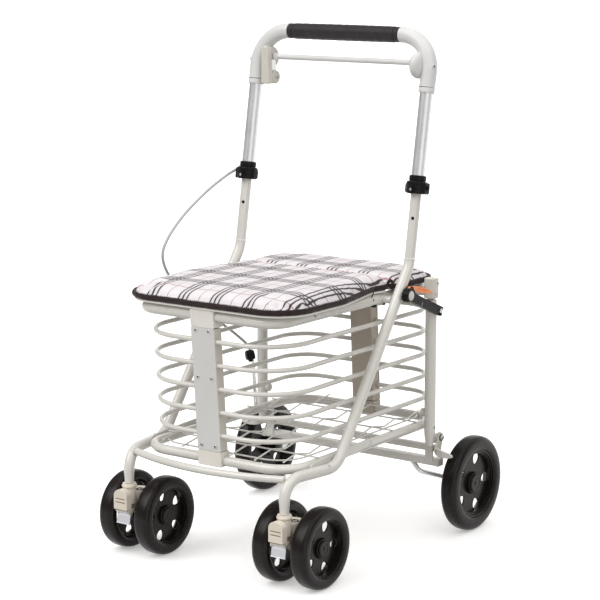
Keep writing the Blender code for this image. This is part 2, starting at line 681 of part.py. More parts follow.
add("rear_axle", swept(axle_route, 0.0046, 8), STEEL, "rear_frame")

# brake crossbar: a bar hung from two ears, whose tips press the rear tyres

def crossed(stations):
    """A bar along X through four-cornered stations (x, y, z, half depth, half height)."""
    around = ((-1, -1), (1, -1), (1, 1), (-1, 1))
    return lofted([[(x, y + a * half_y, z + b * half_z) for a, b in around] for x, y, z, half_y, half_z in stations])


# the bar bends forward below the posts, and its flat tips stand just clear of the tyres
tip = [
    (0.1958, -0.0510, 0.1612, 0.0055, 0.0062),
    (0.2078, -0.0690, 0.1600, 0.0045, 0.0058),
    (0.2245, -0.0755, 0.1570, 0.0026, 0.0050),
    (0.2460, -0.0755, 0.1570, 0.0026, 0.0046),
]
brake = add("brake_crossbar", crossed([(-x, *rest) for x, *rest in reversed(tip)] + tip), FRAME_WHITE, "rear_brake")
for hand, s in SIDES:
    ear = prism(capsule((BRAKE_PIVOT_Y, BRAKE_PIVOT_Z), 0.0085, (-0.0645, 0.1620), 0.0080, 5), *sorted((s * 0.2048, s * 0.2076)), "X")
    weld(brake, ear)
    cut(brake, rod((s * 0.2040, BRAKE_PIVOT_Y, BRAKE_PIVOT_Z), (s * 0.2086, BRAKE_PIVOT_Y, BRAKE_PIVOT_Z), 0.0036, 8))

# boot and pull rods of the brake cable, clipped to the left leg
boot = add(
    "brake_boot",
    turned([(0.2840, 0), (0.2840, 0.0078), (0.2870, 0.0090), (0.2990, 0.0090), (0.3035, 0.0060), (0.3035, 0)], 12, (-0.2140, -0.0880, 0), "Z"),
    BLACK,
    "rear_frame",
)
weld(
    boot,
    block(-0.2110, -0.2058, -0.0860, -0.0750, 0.2870, 0.2990),
    rod((-0.2105, -0.0860, 0.2850), (-0.2120, -0.0790, 0.1960), 0.0016, 6),
    rod((-0.2068, -0.0880, 0.2850), (-0.2110, -0.0735, 0.1960), 0.0016, 6),
    block(-0.2140, -0.2100, -0.0815, -0.0705, 0.1940, 0.1985),
)

# ---------------------------------------------------------------- lock levers
for hand, s in SIDES:

    def reach(along, across):
        p = lever_o + lever_d * along + lever_n * across
        return (p.y, p.z)

    outline = [reach(0.000, -0.0085), reach(LEVER_REACH - 0.003, -0.0085), reach(LEVER_REACH, -0.0055), reach(LEVER_REACH, 0.0055), reach(LEVER_REACH - 0.003, 0.0085), reach(0.000, 0.0085)]
    lever = add(f"lock_lever_{hand}", prism(outline, *sorted((s * LEVER_X[0], s * LEVER_X[1])), "X"), BLACK, f"lock_{hand}")
    weld(
        lever,
        turned([(0.2072, 0), (0.2072, 0.0130), (0.2228, 0.0130), (0.2228, 0)], 16, lever_o, (s, 0, 0)),
        turned([(0.2073, 0), (0.2073, 0.0048), (0.2227, 0.0048), (0.2227, 0)], 10, (0, *TAB_PIVOT), (s, 0, 0)),
    )
    slit = [reach(0.0457, -0.012), reach(0.0473, -0.012), reach(0.0473, -0.0005), reach(0.0457, -0.0005)]
    hook = [reach(STUD_REACH - 0.0042, -0.012), reach(STUD_REACH + 0.0042, -0.012), reach(STUD_REACH + 0.0042, 0.0036), reach(STUD_REACH - 0.0042, 0.0036)]
    cut(
        lever,
        prism(slit, *sorted((s * 0.200, s * 0.230)), "X"),
        prism(hook, *sorted((s * 0.200, s * 0.230)), "X"),
        block(*sorted((s * 0.2102, s * 0.2198)), -0.1835, -0.1600, 0.4815, 0.5000),
        rod((s * 0.200, *LEVER_PIVOT), (s * 0.230, *LEVER_PIVOT), 0.0052, 10),
    )
    weld(lever, rod((s * 0.2090, *TAB_PIVOT), (s * 0.2210, *TAB_PIVOT), 0.0017, 6))
    add(
        f"pivot_pin_{hand}",
        turned([(0.2051, 0), (0.2051, 0.0044), (0.2234, 0.0044), (0.2234, 0.0087), (0.2250, 0.0082), (0.2262, 0.0060), (0.2262, 0)], 12, lever_o, (s, 0, 0)),
        PANEL_GREY,
    )
    ty, tz = TAB_PIVOT
    blade = []
    for k in range(9):
        t = k / 8
        blade.append((ty + 0.0775 * t, tz - 0.0185 * t + 0.0036 * math.sin(math.pi * t) ** 0.7 + 0.0020 * (1 - t)))
    for k in range(8, -1, -1):
        t = k / 8
        blade.append((ty + 0.0775 * t, tz - 0.0185 * t - 0.0024 * math.sin(math.pi * t) ** 0.7 - 0.0020 * (1 - t) - 0.0004))
    tab = add(f"lock_tab_{hand}", prism(blade, *sorted((s * 0.2108, s * 0.2192)), "X"), ORANGE, f"lock_tab_{hand}_pivot")
    weld(tab, rod((s * 0.2109, ty, tz), (s * 0.2191, ty, tz), 0.0040, 10))
    cut(tab, rod((s * 0.2080, ty, tz), (s * 0.2220, ty, tz), 0.0023, 6))


# ---------------------------------------------------------------- wheels
def spokes(count, radius, half_len, half_wide, half_thick, centre, turn=0.0):
    """The windows between a wheel's spokes, as one cutter of separate oval plugs."""
    plugs = []
    for k in range(count):
        angle = 2 * math.pi * k / count + turn
        out, across = Vector((math.cos(angle), math.sin(angle))), Vector((-math.sin(angle), math.cos(angle)))
        ring = []
        for j in range(6):
            a = 2 * math.pi * (j + 0.5) / 6
            p = out * (radius + half_len * math.cos(a)) + across * (half_wide * math.sin(a) * (1.0 + 0.25 * math.cos(a)))
            ring.append((centre[1] + p.x, centre[2] + p.y))
        plugs.append(prism(ring, centre[0] - half_thick, centre[0] + half_thick, "X"))
    return merged(*plugs)


def wheel(name, body, centre, s, radius, width, steps, rim, web, hub, hub_out, bore, bore_depth):
    """Tyre, dished web, and a hub whose blind bore opens inwards. s is +1 where the outer face looks along +X."""
    w, h, flat = width / 2, web / 2, 1 / math.cos(math.pi / steps)
    profile = [
        (bore_depth - w - 0.001, 0),
        (bore_depth - w - 0.001, bore),
        (-w - 0.001, bore),
        (-w - 0.001, hub),
        (-h, hub + 0.002),
        (-h, rim),
        (-w, rim + 0.003),
        (-w, radius - 0.009),
        (-w + 0.007, radius),
        (w - 0.007, radius),
        (w, radius - 0.009),
        (w, rim + 0.003),
        (h, rim),
        (h, hub + 0.002),
        (w + hub_out, hub),
        (w + hub_out, 0),
    ]
    shape = turned([(s * along, r * flat) for along, r in profile], steps, centre)
    return add(name, shape, TYRE, body)


for hand, s in SIDES:
    centre = (s * REAR_WHEEL_X, 0, REAR_WHEEL_R)
    big = wheel(f"rear_wheel_{hand}", f"rear_wheel_{hand}_axle", centre, s, REAR_WHEEL_R, REAR_WHEEL_W, 24, 0.0640, 0.0090, 0.0200, 0.0020, 0.0054, 0.0240)
    cut(big, spokes(5, 0.0435, 0.0125, 0.0120, 0.02, centre, 0.3))
    for place, off in (("outer", s), ("inner", -s)):
        centre = (s * STEM_X + off * FRONT_WHEEL_OUT, STEM_Y + CASTER_TRAIL, FRONT_WHEEL_R)
        small = wheel(f"front_wheel_{hand}_{place}", f"front_wheel_{hand}_{place}_axle", centre, off, FRONT_WHEEL_R, FRONT_WHEEL_W, 20, 0.0490, 0.0090, 0.0170, 0.0010, 0.0050, 0.0240)
        cut(small, spokes(5, 0.0340, 0.0090, 0.0095, 0.02, centre, 0.1))

# ---------------------------------------------------------------- casters
for hand, s in SIDES:
    x = s * STEM_X
    axle_y = STEM_Y + CASTER_TRAIL
    caster = add(
        f"caster_housing_{hand}",
        turned([(0.1000, 0), (0.1000, 0.0115), (0.1215, 0.0125), (0.1215, 0.0190), (0.1262, 0.0190), (0.1262, 0.0128), (0.1374, 0.0128), (0.1374, 0)], 14, (x, STEM_Y, 0), "Z"),
        BEIGE,
        f"caster_{hand}",
    )
    trunk = [(-0.5190, 0.1180), (-0.5190, 0.0890), (-0.4900, 0.0790), (-0.4745, 0.0620), (-0.4587, 0.0560), (-0.4430, 0.0720), (-0.4560, 0.0900), (-0.4830, 0.1180)]
    weld(
        caster,
        block(x - 0.0130, x + 0.0130, -0.5345, -0.5000, 0.0885, 0.1235),
        prism(trunk, x - 0.0105, x + 0.0105, "X"),
        turned([(-0.0205, 0), (-0.0205, 0.0150), (0.0205, 0.0150), (0.0205, 0)], 14, (x, axle_y, FRONT_WHEEL_R)),
        rod((x - 0.0470, axle_y, FRONT_WHEEL_R), (x + 0.0470, axle_y, FRONT_WHEEL_R), 0.0043, 10),
        block(x - 0.0128, x - 0.0108, -0.5255, -0.5175, 0.0790, 0.0900),
        block(x + 0.0108, x + 0.0128, -0.5255, -0.5175, 0.0790, 0.0900),
        rod((x - 0.0118, LOCK_PIVOT_Y, LOCK_PIVOT_Z), (x + 0.0118, LOCK_PIVOT_Y, LOCK_PIVOT_Z), 0.0015, 6),
    )
    cut(
        caster,
        rod((x, STEM_Y, 0.1000), (x, STEM_Y, 0.1500), KINGPIN_R + 0.0006, 10),
        block(x - 0.0100, x + 0.0100, -0.5400, -0.5325, 0.0925, 0.1035),
        block(x - 0.0100, x + 0.0100, -0.5400, -0.5325, 0.1085, 0.1195),
    )
    flap = [
        (LOCK_PIVOT_Y - 0.0012, 0.0620),
        (LOCK_PIVOT_Y + 0.0012, 0.0620),
        (LOCK_PIVOT_Y + 0.0030, 0.0835),
        (LOCK_PIVOT_Y + 0.0020, 0.0862),
        (LOCK_PIVOT_Y - 0.0020, 0.0862),
        (LOCK_PIVOT_Y - 0.0030, 0.0835),
    ]
    flap_piece = add(f"caster_lock_{hand}", prism(flap, x - 0.0104, x + 0.0104, "X"), STEEL, f"caster_lock_{hand}_pivot")
    cut(flap_piece, rod((x - 0.02, LOCK_PIVOT_Y, LOCK_PIVOT_Z), (x + 0.02, LOCK_PIVOT_Y, LOCK_PIVOT_Z), 0.0019, 6))


# ---------------------------------------------------------------- brake cable, left side
def smooth_route(knots, spacing):
    """A Catmull-Rom curve through the knots, sampled at an even spacing."""
    knots = [Vector(k) for k in knots]
    padded = [knots[0] * 2 - knots[1], *knots, knots[-1] * 2 - knots[-2]]
    dense = []
    for i in range(1, len(padded) - 2):
        p0, p1, p2, p3 = padded[i - 1 : i + 3]
        for k in range(20):
            t = k / 20
            dense.append(0.5 * ((2 * p1) + (p2 - p0) * t + (2 * p0 - 5 * p1 + 4 * p2 - p3) * t * t + (3 * p1 - p0 - 3 * p2 + p3) * t**3))
    dense.append(knots[-1])
    total = sum((b - a).length for a, b in zip(dense, dense[1:]))
    count = round(total / spacing)
    out, walked, target = [dense[0]], 0.0, total / count
    for a, b in zip(dense, dense[1:]):
        step = (b - a).length
        while walked + step >= target * len(out) and len(out) < count:
            out.append(a.lerp(b, (target * len(out) - walked) / step))
        walked += step
    out.append(dense[-1])
    return out


CABLE_ROUTE = [
    (-0.2015, -0.0843, 0.8280),
    (-0.2015, -0.0892, 0.8000),
    (-0.2015, -0.0943, 0.7700),
    (-0.2015, -0.0996, 0.7390),
    (-0.2040, -0.1010, 0.7150),
    (-0.2085, -0.1018, 0.6960),
    (-0.2150, -0.1060, 0.6800),
    (-0.2215, -0.1180, 0.6690),
    (-0.2245, -0.1500, 0.6580),
    (-0.2270, -0.2100, 0.6320),
    (-0.2320, -0.2750, 0.5920),
    (-0.2365, -0.3180, 0.5500),
    (-0.2420, -0.3220, 0.5150),
    (-0.2450, -0.2900, 0.4700),
    (-0.2400, -0.2300, 0.4200),
    (-0.2280, -0.1620, 0.3700),
    (-0.2190, -0.1230, 0.3400),
    (-0.2152, -0.0980, 0.3190),
    (-0.2140, -0.0885, 0.3053),
]
cable_points = smooth_route([(x, y + REAR_AXLE_Y, z) for x, y, z in CABLE_ROUTE], 0.0138)
curve = bpy.data.curves.new("brake_cable", "CURVE")
curve.dimensions = "3D"
curve.bevel_depth = 0.0023
curve.bevel_resolution = 2
curve.use_fill_caps = True
spline = curve.splines.new("POLY")
spline.points.add(len(cable_points) - 1)
for spot, point in zip(spline.points, cable_points):
    spot.co = (*point, 1.0)
cable = bpy.data.objects.new("brake_cable", curve)
curve.materials.append(CABLE_GREY)
bpy.context.collection.objects.link(cable)
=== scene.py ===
"""Looks of the shopping rollator: finishes, finer pieces, padded seat, brake cable, camera, light and floor.

Metres, the frame's own axes. Every y in the tables below is measured from the rear axle, as in the CAD source, and
piece() moves a finished piece back by AXLE_Y."""

import math

import bmesh
import bpy
import numpy as np
from mathutils import Matrix, Vector, noise


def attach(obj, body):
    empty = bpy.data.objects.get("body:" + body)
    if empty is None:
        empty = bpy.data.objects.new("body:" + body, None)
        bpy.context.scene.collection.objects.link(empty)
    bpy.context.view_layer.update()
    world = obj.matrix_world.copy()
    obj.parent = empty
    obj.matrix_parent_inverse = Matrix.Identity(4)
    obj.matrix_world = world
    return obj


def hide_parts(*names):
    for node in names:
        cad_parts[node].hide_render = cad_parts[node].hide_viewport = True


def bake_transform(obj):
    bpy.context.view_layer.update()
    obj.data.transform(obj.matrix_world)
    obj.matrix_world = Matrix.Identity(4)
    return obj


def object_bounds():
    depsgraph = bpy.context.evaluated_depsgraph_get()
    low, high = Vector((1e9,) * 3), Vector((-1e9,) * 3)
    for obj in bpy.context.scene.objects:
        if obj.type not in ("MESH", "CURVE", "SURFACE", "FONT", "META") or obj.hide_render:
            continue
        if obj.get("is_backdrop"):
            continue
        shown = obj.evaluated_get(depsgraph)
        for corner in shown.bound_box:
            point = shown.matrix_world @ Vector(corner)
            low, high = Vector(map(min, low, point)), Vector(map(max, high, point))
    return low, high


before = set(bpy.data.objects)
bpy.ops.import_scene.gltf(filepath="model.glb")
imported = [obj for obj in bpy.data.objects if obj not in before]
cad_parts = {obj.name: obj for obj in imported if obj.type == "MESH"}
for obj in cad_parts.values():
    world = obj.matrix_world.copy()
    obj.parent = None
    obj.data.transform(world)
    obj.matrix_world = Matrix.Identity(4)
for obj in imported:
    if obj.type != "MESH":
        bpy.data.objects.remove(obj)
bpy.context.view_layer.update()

AXLE_Y = 0.222
SIDES = (("left", -1), ("right", 1))


# ================================================================ camera, lights, floor
camera = bpy.data.objects.new("camera", bpy.data.cameras.new("camera"))
bpy.context.scene.collection.objects.link(camera)
camera.location = (2.1432, -2.986, 1.1245)
camera.rotation_euler = (math.radians(79.597), 0.0, math.radians(35.647))
camera.data.sensor_width = 36.0
camera.data.lens = 121.36
camera.data.clip_start = 0.05
camera.data.clip_end = 60.0
bpy.context.scene.camera = camera


def aim(obj, target):
    obj.rotation_euler = (Vector(target) - obj.location).to_track_quat("-Z", "Y").to_euler()


def sun(name, toward, strength, spread, colour=(1.0, 1.0, 1.0)):
    """A broad, even studio light that comes from the given direction."""
    data = bpy.data.lights.new(name, "SUN")
    data.energy = strength
    data.angle = math.radians(spread)
    data.color = colour
    obj = bpy.data.objects.new(name, data)
    bpy.context.scene.collection.objects.link(obj)
    obj.location = Vector(toward).normalized() * 4.0
    aim(obj, (0.0, 0.0, 0.0))


bpy.context.scene.view_settings.view_transform = "Standard"
sun("key", (-0.55, -1.0, 1.15), 1.60, 40.0, (1.0, 1.0, 1.0))
sun("fill", (1.3, -0.75, 0.85), 0.95, 60.0, (0.985, 0.99, 1.0))
sun("top", (0.1, 0.15, 1.0), 1.10, 80.0, (1.0, 1.0, 1.0))

world = bpy.data.worlds.new("studio")
bpy.context.scene.world = world
world.use_nodes = True
sky = world.node_tree.nodes["Background"]
sky.inputs["Color"].default_value = (1.0, 0.965, 0.92, 1.0)
sky.inputs["Strength"].default_value = 0.40
# the camera sees a white room beyond the floor; the pieces are lit by the sky above
room = world.node_tree.nodes.new("ShaderNodeBackground")
room.inputs["Color"].default_value = (1.0, 1.0, 0.995, 1.0)
room.inputs["Strength"].default_value = 1.0
path = world.node_tree.nodes.new("ShaderNodeLightPath")
either = world.node_tree.nodes.new("ShaderNodeMixShader")
world.node_tree.links.new(path.outputs["Is Camera Ray"], either.inputs[0])
world.node_tree.links.new(sky.outputs[0], either.inputs[1])
world.node_tree.links.new(room.outputs[0], either.inputs[2])
world.node_tree.links.new(either.outputs[0], world.node_tree.nodes["World Output"].inputs["Surface"])


# ================================================================ materials
class Nodes:
    """A material's node tree, with the object's own coordinates at hand."""

    def __init__(self, name, colour, roughness, metallic=0.0, coat=0.0, coat_roughness=0.1, specular=0.5, sheen=0.0):
        self.mat = bpy.data.materials.new(name)
        self.mat.use_nodes = True
        self.tree = self.mat.node_tree
        self.shader = self.tree.nodes["Principled BSDF"]
        self.shader.inputs["Base Color"].default_value = (*colour, 1.0)
        self.shader.inputs["Roughness"].default_value = roughness
        self.shader.inputs["Metallic"].default_value = metallic
        self.shader.inputs["Coat Weight"].default_value = coat
        self.shader.inputs["Coat Roughness"].default_value = coat_roughness
        self.shader.inputs["Specular IOR Level"].default_value = specular
        self.shader.inputs["Sheen Weight"].default_value = sheen
        self.mat.diffuse_color = (*colour, 1.0)
        self.where = self.node("ShaderNodeTexCoord").outputs["Object"]
        self.normal = None

    def node(self, kind, **values):
        made = self.tree.nodes.new(kind)
        for key, value in values.items():
            setattr(made, key, value)
        return made

    def join(self, source, target):
        self.tree.links.new(source, target)

    def stretched(self, scale):
        made = self.node("ShaderNodeMapping")
        made.inputs["Scale"].default_value = scale
        self.join(self.where, made.inputs["Vector"])
        return made.outputs["Vector"]

    def noise(self, scale, detail=3.0, rough=0.5, vector=None):
        made = self.node("ShaderNodeTexNoise")
        made.inputs["Scale"].default_value = scale
        made.inputs["Detail"].default_value = detail
        made.inputs["Roughness"].default_value = rough
        self.join(vector or self.where, made.inputs["Vector"])
        return made.outputs["Fac"]

    def math(self, operation, a, b=None, c=None):
        made = self.node("ShaderNodeMath", operation=operation)
        for socket, value in zip(made.inputs, (a, b, c)):
            if value is None:
                continue
            if isinstance(value, (int, float)):
                socket.default_value = value
            else:
                self.join(value, socket)
        return made.outputs[0]

    def ranged(self, value, low, high, start=0.3, end=0.7):
        made = self.node("ShaderNodeMapRange")
        made.inputs["From Min"].default_value = start
        made.inputs["From Max"].default_value = end
        made.inputs["To Min"].default_value = low
        made.inputs["To Max"].default_value = high
        self.join(value, made.inputs["Value"])
        return made.outputs["Result"]

    def mix(self, factor, one, two):
        made = self.node("ShaderNodeMix", data_type="RGBA")
        for socket, value in ((made.inputs["Factor"], factor), (made.inputs[6], one), (made.inputs[7], two)):
            if isinstance(value, tuple):
                socket.default_value = (*value, 1.0)
            elif isinstance(value, (int, float)):
                socket.default_value = value
            else:
                self.join(value, socket)
        return made.outputs[2]

    def colour(self, value):
        self.join(value, self.shader.inputs["Base Color"])

    def roughness(self, value):
        self.join(value, self.shader.inputs["Roughness"])

    def bump(self, height, strength, distance):
        made = self.node("ShaderNodeBump")
        made.inputs["Strength"].default_value = strength
        made.inputs["Distance"].default_value = distance
        self.join(height, made.inputs["Height"])
        if self.normal is not None:
            self.join(self.normal, made.inputs["Normal"])
        self.normal = made.outputs["Normal"]

    def done(self):
        if self.normal is not None:
            self.join(self.normal, self.shader.inputs["Normal"])
        return self.mat


def shade(colour, by):
    return tuple(max(0.0, c * by) for c in colour)


def paint(name, colour, low=0.24, high=0.33, peel=0.05):
    """Powder-coated metal: faint mottle, orange peel, a little dust in the roughness."""
    n = Nodes(name, colour, low, coat=0.25, coat_roughness=0.12)
    n.colour(n.mix(n.ranged(n.noise(11.0, 4.0), 0.0, 1.0), shade(colour, 0.965), shade(colour, 1.025)))
    n.roughness(n.ranged(n.noise(46.0, 4.0), low, high))
    n.bump(n.noise(620.0, 2.0), peel, 0.0006)
    n.bump(n.noise(90.0, 2.0), peel * 0.6, 0.0010)
    return n.done()


def moulded(name, colour, low=0.38, high=0.50, grain=0.10, grain_scale=1500.0, mottle=0.05, coat=0.0, specular=0.5):
    """Injection-moulded plastic with a fine spark-eroded grain."""
    n = Nodes(name, colour, low, coat=coat, coat_roughness=0.25, specular=specular)
    n.colour(n.mix(n.ranged(n.noise(24.0, 5.0), 0.0, 1.0), shade(colour, 1 - mottle), shade(colour, 1 + mottle * 0.7)))
    n.roughness(n.ranged(n.noise(70.0, 4.0), low, high))
    n.bump(n.noise(grain_scale, 2.0, 0.6), grain, 0.0004)
    n.bump(n.noise(130.0, 2.0), grain * 0.4, 0.0008)
    return n.done()


def drawn_metal(name, colour, low, high, along=(700.0, 700.0, 14.0)):
    """Drawn or anodised metal with fine marks along the piece."""
    n = Nodes(name, colour, low, metallic=1.0)
    streak = n.noise(1.0, 4.0, 0.6, n.stretched(along))
    n.colour(n.mix(n.ranged(streak, 0.0, 1.0), shade(colour, 0.93), shade(colour, 1.04)))
    n.roughness(n.math("ADD", n.ranged(streak, low, high), n.ranged(n.noise(30.0, 3.0), -0.02, 0.03)))
    n.bump(streak, 0.06, 0.0003)
    return n.done()


IVORY = paint("ivory_paint", (0.672, 0.655, 0.616), 0.20, 0.29)
HANDLE_WHITE = moulded("handle_white", (0.700, 0.700, 0.695), 0.30, 0.40, 0.05)
BEIGE = moulded("beige_plastic", (0.660, 0.632, 0.572), 0.36, 0.48, 0.08)
# a darker copy of the panel beige for the rear panel's channel and caps: painted shade, as the seat shades them
REAR_BEIGE_PAINTED_SHADE = moulded("rear_beige_painted_shade", (0.480, 0.425, 0.355), 0.40, 0.52, 0.08)
CAP_BEIGE = moulded("cap_beige", (0.800, 0.775, 0.715), 0.36, 0.48, 0.08)
CASTER_BEIGE = moulded("caster_beige", (0.720, 0.655, 0.560), 0.34, 0.46, 0.08)
# a darker brown for the caster's trunk: painted shade where it lies under the cup
CASTER_PAINTED_SHADE = moulded("caster_painted_shade", (0.420, 0.355, 0.275), 0.42, 0.56, 0.08)
LOCK_STEEL = drawn_metal("lock_steel", (0.540, 0.540, 0.570), 0.34, 0.48, (60.0, 900.0, 900.0))
SILVER = drawn_metal("satin_silver", (0.640, 0.640, 0.655), 0.34, 0.44)
PANEL_GREY = paint("panel_grey", (0.640, 0.640, 0.630), 0.32, 0.42, 0.04)
ZINC = drawn_metal("zinc_steel", (0.62, 0.62, 0.60), 0.30, 0.46, (60.0, 900.0, 900.0))
CHROME = drawn_metal("screw_steel", (0.46, 0.46, 0.45), 0.20, 0.32, (300.0, 300.0, 300.0))
ROD_STEEL = drawn_metal("bright_rod", (0.72, 0.72, 0.71), 0.24, 0.34)
CAP_GREY = moulded("cap_grey", (0.66, 0.66, 0.65), 0.34, 0.46, 0.05)
BLACK = moulded("black_plastic", (0.0060, 0.0060, 0.0065), 0.32, 0.46, 0.16, 1100.0, 0.18, specular=0.13)
# a near-black for recesses, grooves and gaps: painted shade
PAINTED_RECESS_SHADE = moulded("painted_recess_shade", (0.045, 0.042, 0.038), 0.60, 0.75, 0.10)
# a dark tan for the caster head's grooves: painted shade
TAN_RECESS_SHADE = moulded("painted_tan_recess_shade", (0.230, 0.175, 0.120), 0.55, 0.70, 0.10)
CABLE = moulded("cable_sheath", (0.48, 0.48, 0.49), 0.34, 0.44, 0.05)
BOARD = moulded("seat_board_white", (0.84, 0.825, 0.79), 0.46, 0.58, 0.06)


def wheel_black():
    n = Nodes("wheel_black", (0.0092, 0.0066, 0.0066), 0.30, specular=0.17)
    n.colour(n.mix(n.ranged(n.noise(17.0, 5.0), 0.0, 1.0), (0.0074, 0.0052, 0.0052), (0.0118, 0.0084, 0.0084)))
    dust = n.ranged(n.noise(38.0, 6.0, 0.62), 0.0, 1.0, 0.35, 0.75)
    n.roughness(n.math("ADD", n.math("MULTIPLY", dust, 0.08), 0.24))
    n.bump(n.noise(900.0, 3.0, 0.6), 0.10, 0.0004)
    n.bump(n.noise(60.0, 2.0), 0.05, 0.0012)
    return n.done()


def grip_foam():
    n = Nodes("grip_foam", (0.018, 0.015, 0.017), 0.55, specular=0.28)
    cells = n.node("ShaderNodeTexVoronoi")
    cells.inputs["Scale"].default_value = 1500.0
    n.join(n.where, cells.inputs["Vector"])
    n.colour(n.mix(n.ranged(n.noise(60.0, 5.0), 0.0, 1.0), (0.0150, 0.0125, 0.0140), (0.0270, 0.0225, 0.0245)))
    n.roughness(n.ranged(n.noise(120.0, 4.0), 0.44, 0.60))
    n.bump(cells.outputs["Distance"], 0.22, 0.0004)
    n.bump(n.noise(260.0, 3.0), 0.10, 0.0006)
    return n.done()


def tab_orange():
    n = Nodes("tab_orange", (0.86, 0.24, 0.035), 0.36, coat=0.2, coat_roughness=0.2)
    n.colour(n.mix(n.ranged(n.noise(45.0, 4.0), 0.0, 1.0), (0.80, 0.205, 0.026), (0.90, 0.275, 0.045)))
    n.roughness(n.ranged(n.noise(80.0, 3.0), 0.32, 0.44))
    n.bump(n.noise(1300.0, 2.0), 0.07, 0.0004)
    return n.done()


def lines(n, across, period, marks):
    """Dark threads along one direction: marks are (place, half width, strength) inside one period, in metres."""
    phase = n.math("MULTIPLY", n.math("FRACT", n.math("DIVIDE", across, period)), period)
    total = None
    for spot, half, strength in marks:
        away = n.math("ABSOLUTE", n.math("SUBTRACT", phase, spot))
        band = n.math("MULTIPLY", n.ranged(away, strength, 0.0, half * 0.75, half * 1.25), 1.0)
        total = band if total is None else n.math("MAXIMUM", total, band)
    return total


def check_cloth():
    """A woven check: three dark lines, then one thin reddish line, each way, on a white ground."""
    n = Nodes("check_cloth", (0.80, 0.77, 0.79), 0.80, specular=0.20, sheen=0.10)
    split = n.node("ShaderNodeSeparateXYZ")
    wobble = n.node("ShaderNodeTexNoise")
    wobble.inputs["Scale"].default_value = 14.0
    wobble.inputs["Detail"].default_value = 2.0
    n.join(n.where, wobble.inputs["Vector"])
    shift = n.node("ShaderNodeVectorMath", operation="MULTIPLY_ADD")
    n.join(wobble.outputs["Color"], shift.inputs[0])
    shift.inputs[1].default_value = (0.0045, 0.0045, 0.0)
    n.join(n.where, shift.inputs[2])
    n.join(shift.outputs["Vector"], split.inputs["Vector"])
    x = n.math("ADD", split.outputs["X"], 1.0)
    y = n.math("ADD", split.outputs["Y"], 1.0)
    y = n.math("ADD", y, n.ranged(y, 0.0, 0.03905, 1.0352, 1.0362))
    warp = lines(n, x, 0.0700, [(0.0408, 0.0016, 0.96), (0.0498, 0.0017, 0.97), (0.0588, 0.0016, 0.95)])
    weft = lines(n, y, 0.0900, [(0.0586, 0.0020, 0.95), (0.0683, 0.0021, 0.96), (0.0780, 0.0020, 0.94)])
    fine_x = lines(n, x, 0.0700, [(0.0148, 0.0008, 0.70)])
    fine_y = lines(n, y, 0.0900, [(0.0233, 0.0010, 0.70)])
    band_x = lines(n, x, 0.0700, [(0.0498, 0.0125, 0.22)])
    band_y = lines(n, y, 0.0900, [(0.0683, 0.0130, 0.22)])
    ground = n.mix(n.ranged(n.noise(30.0, 4.0), 0.0, 1.0), (0.715, 0.680, 0.700), (0.785, 0.752, 0.770))
    ground = n.mix(band_x, ground, (0.41, 0.345, 0.375))
    ground = n.mix(band_y, ground, (0.41, 0.345, 0.375))
    ground = n.mix(fine_x, ground, (0.26, 0.10, 0.12))
    ground = n.mix(fine_y, ground, (0.34, 0.12, 0.14))
    thread = n.noise(1.0, 2.0, 0.5, n.stretched((900.0, 900.0, 900.0)))
    ground = n.mix(warp, ground, (0.020, 0.015, 0.019))
    ground = n.mix(weft, ground, (0.022, 0.017, 0.021))
    n.colour(n.mix(n.ranged(thread, 0.0, 0.06), ground, (0.46, 0.43, 0.45)))
    n.roughness(n.ranged(n.noise(200.0, 3.0), 0.72, 0.88))
    for axis in ("X", "Y"):
        wave = n.node("ShaderNodeTexWave", bands_direction=axis)
        wave.inputs["Scale"].default_value = 150.0
        wave.inputs["Distortion"].default_value = 0.6
        n.join(n.where, wave.inputs["Vector"])
        n.bump(wave.outputs["Fac"], 0.10, 0.0005)
    n.bump(n.noise(42.0, 3.0), 0.22, 0.0022)
    return n.done()


def binding_tape():
    """Dark brown-black bias tape with a fine rib along its length and small puckers."""
    n = Nodes("binding_tape", (0.018, 0.010, 0.010), 0.66, specular=0.20, sheen=0.05)
    n.colour(n.mix(n.ranged(n.noise(85.0, 5.0), 0.0, 1.0), (0.0130, 0.0070, 0.0072), (0.0270, 0.0155, 0.0150)))
    n.roughness(n.ranged(n.noise(90.0, 3.0), 0.56, 0.74))
    n.bump(n.noise(1.0, 2.0, 0.5, n.stretched((240.0, 240.0, 2300.0))), 0.35, 0.0006)
    n.bump(n.noise(150.0, 3.0), 0.35, 0.0012)
    return n.done()


WHEEL = wheel_black()
FOAM = grip_foam()
ORANGE = tab_orange()
CLOTH = check_cloth()
TAPE = binding_tape()


def floor_paint():
    n = Nodes("studio_floor", (0.92, 0.92, 0.915), 0.55, specular=0.3)
    n.shader.inputs["Emission Color"].default_value = (1.0, 1.0, 0.995, 1.0)
    n.shader.inputs["Emission Strength"].default_value = 0.33
    n.colour(n.mix(n.ranged(n.noise(1.3, 3.0), 0.0, 1.0), (0.915, 0.915, 0.91), (0.93, 0.93, 0.926)))
    n.roughness(n.ranged(n.noise(9.0, 3.0), 0.5, 0.62))
    return n.done()


# ================================================================ shape helpers
def mesh_from(verts, faces):
    mesh = bpy.data.meshes.new("shape")
    mesh.from_pydata([tuple(v) for v in verts], [], faces)
    bm = bmesh.new()
    bm.from_mesh(mesh)
    bmesh.ops.recalc_face_normals(bm, faces=bm.faces)
    bm.to_mesh(mesh)
    bm.free()
    return mesh


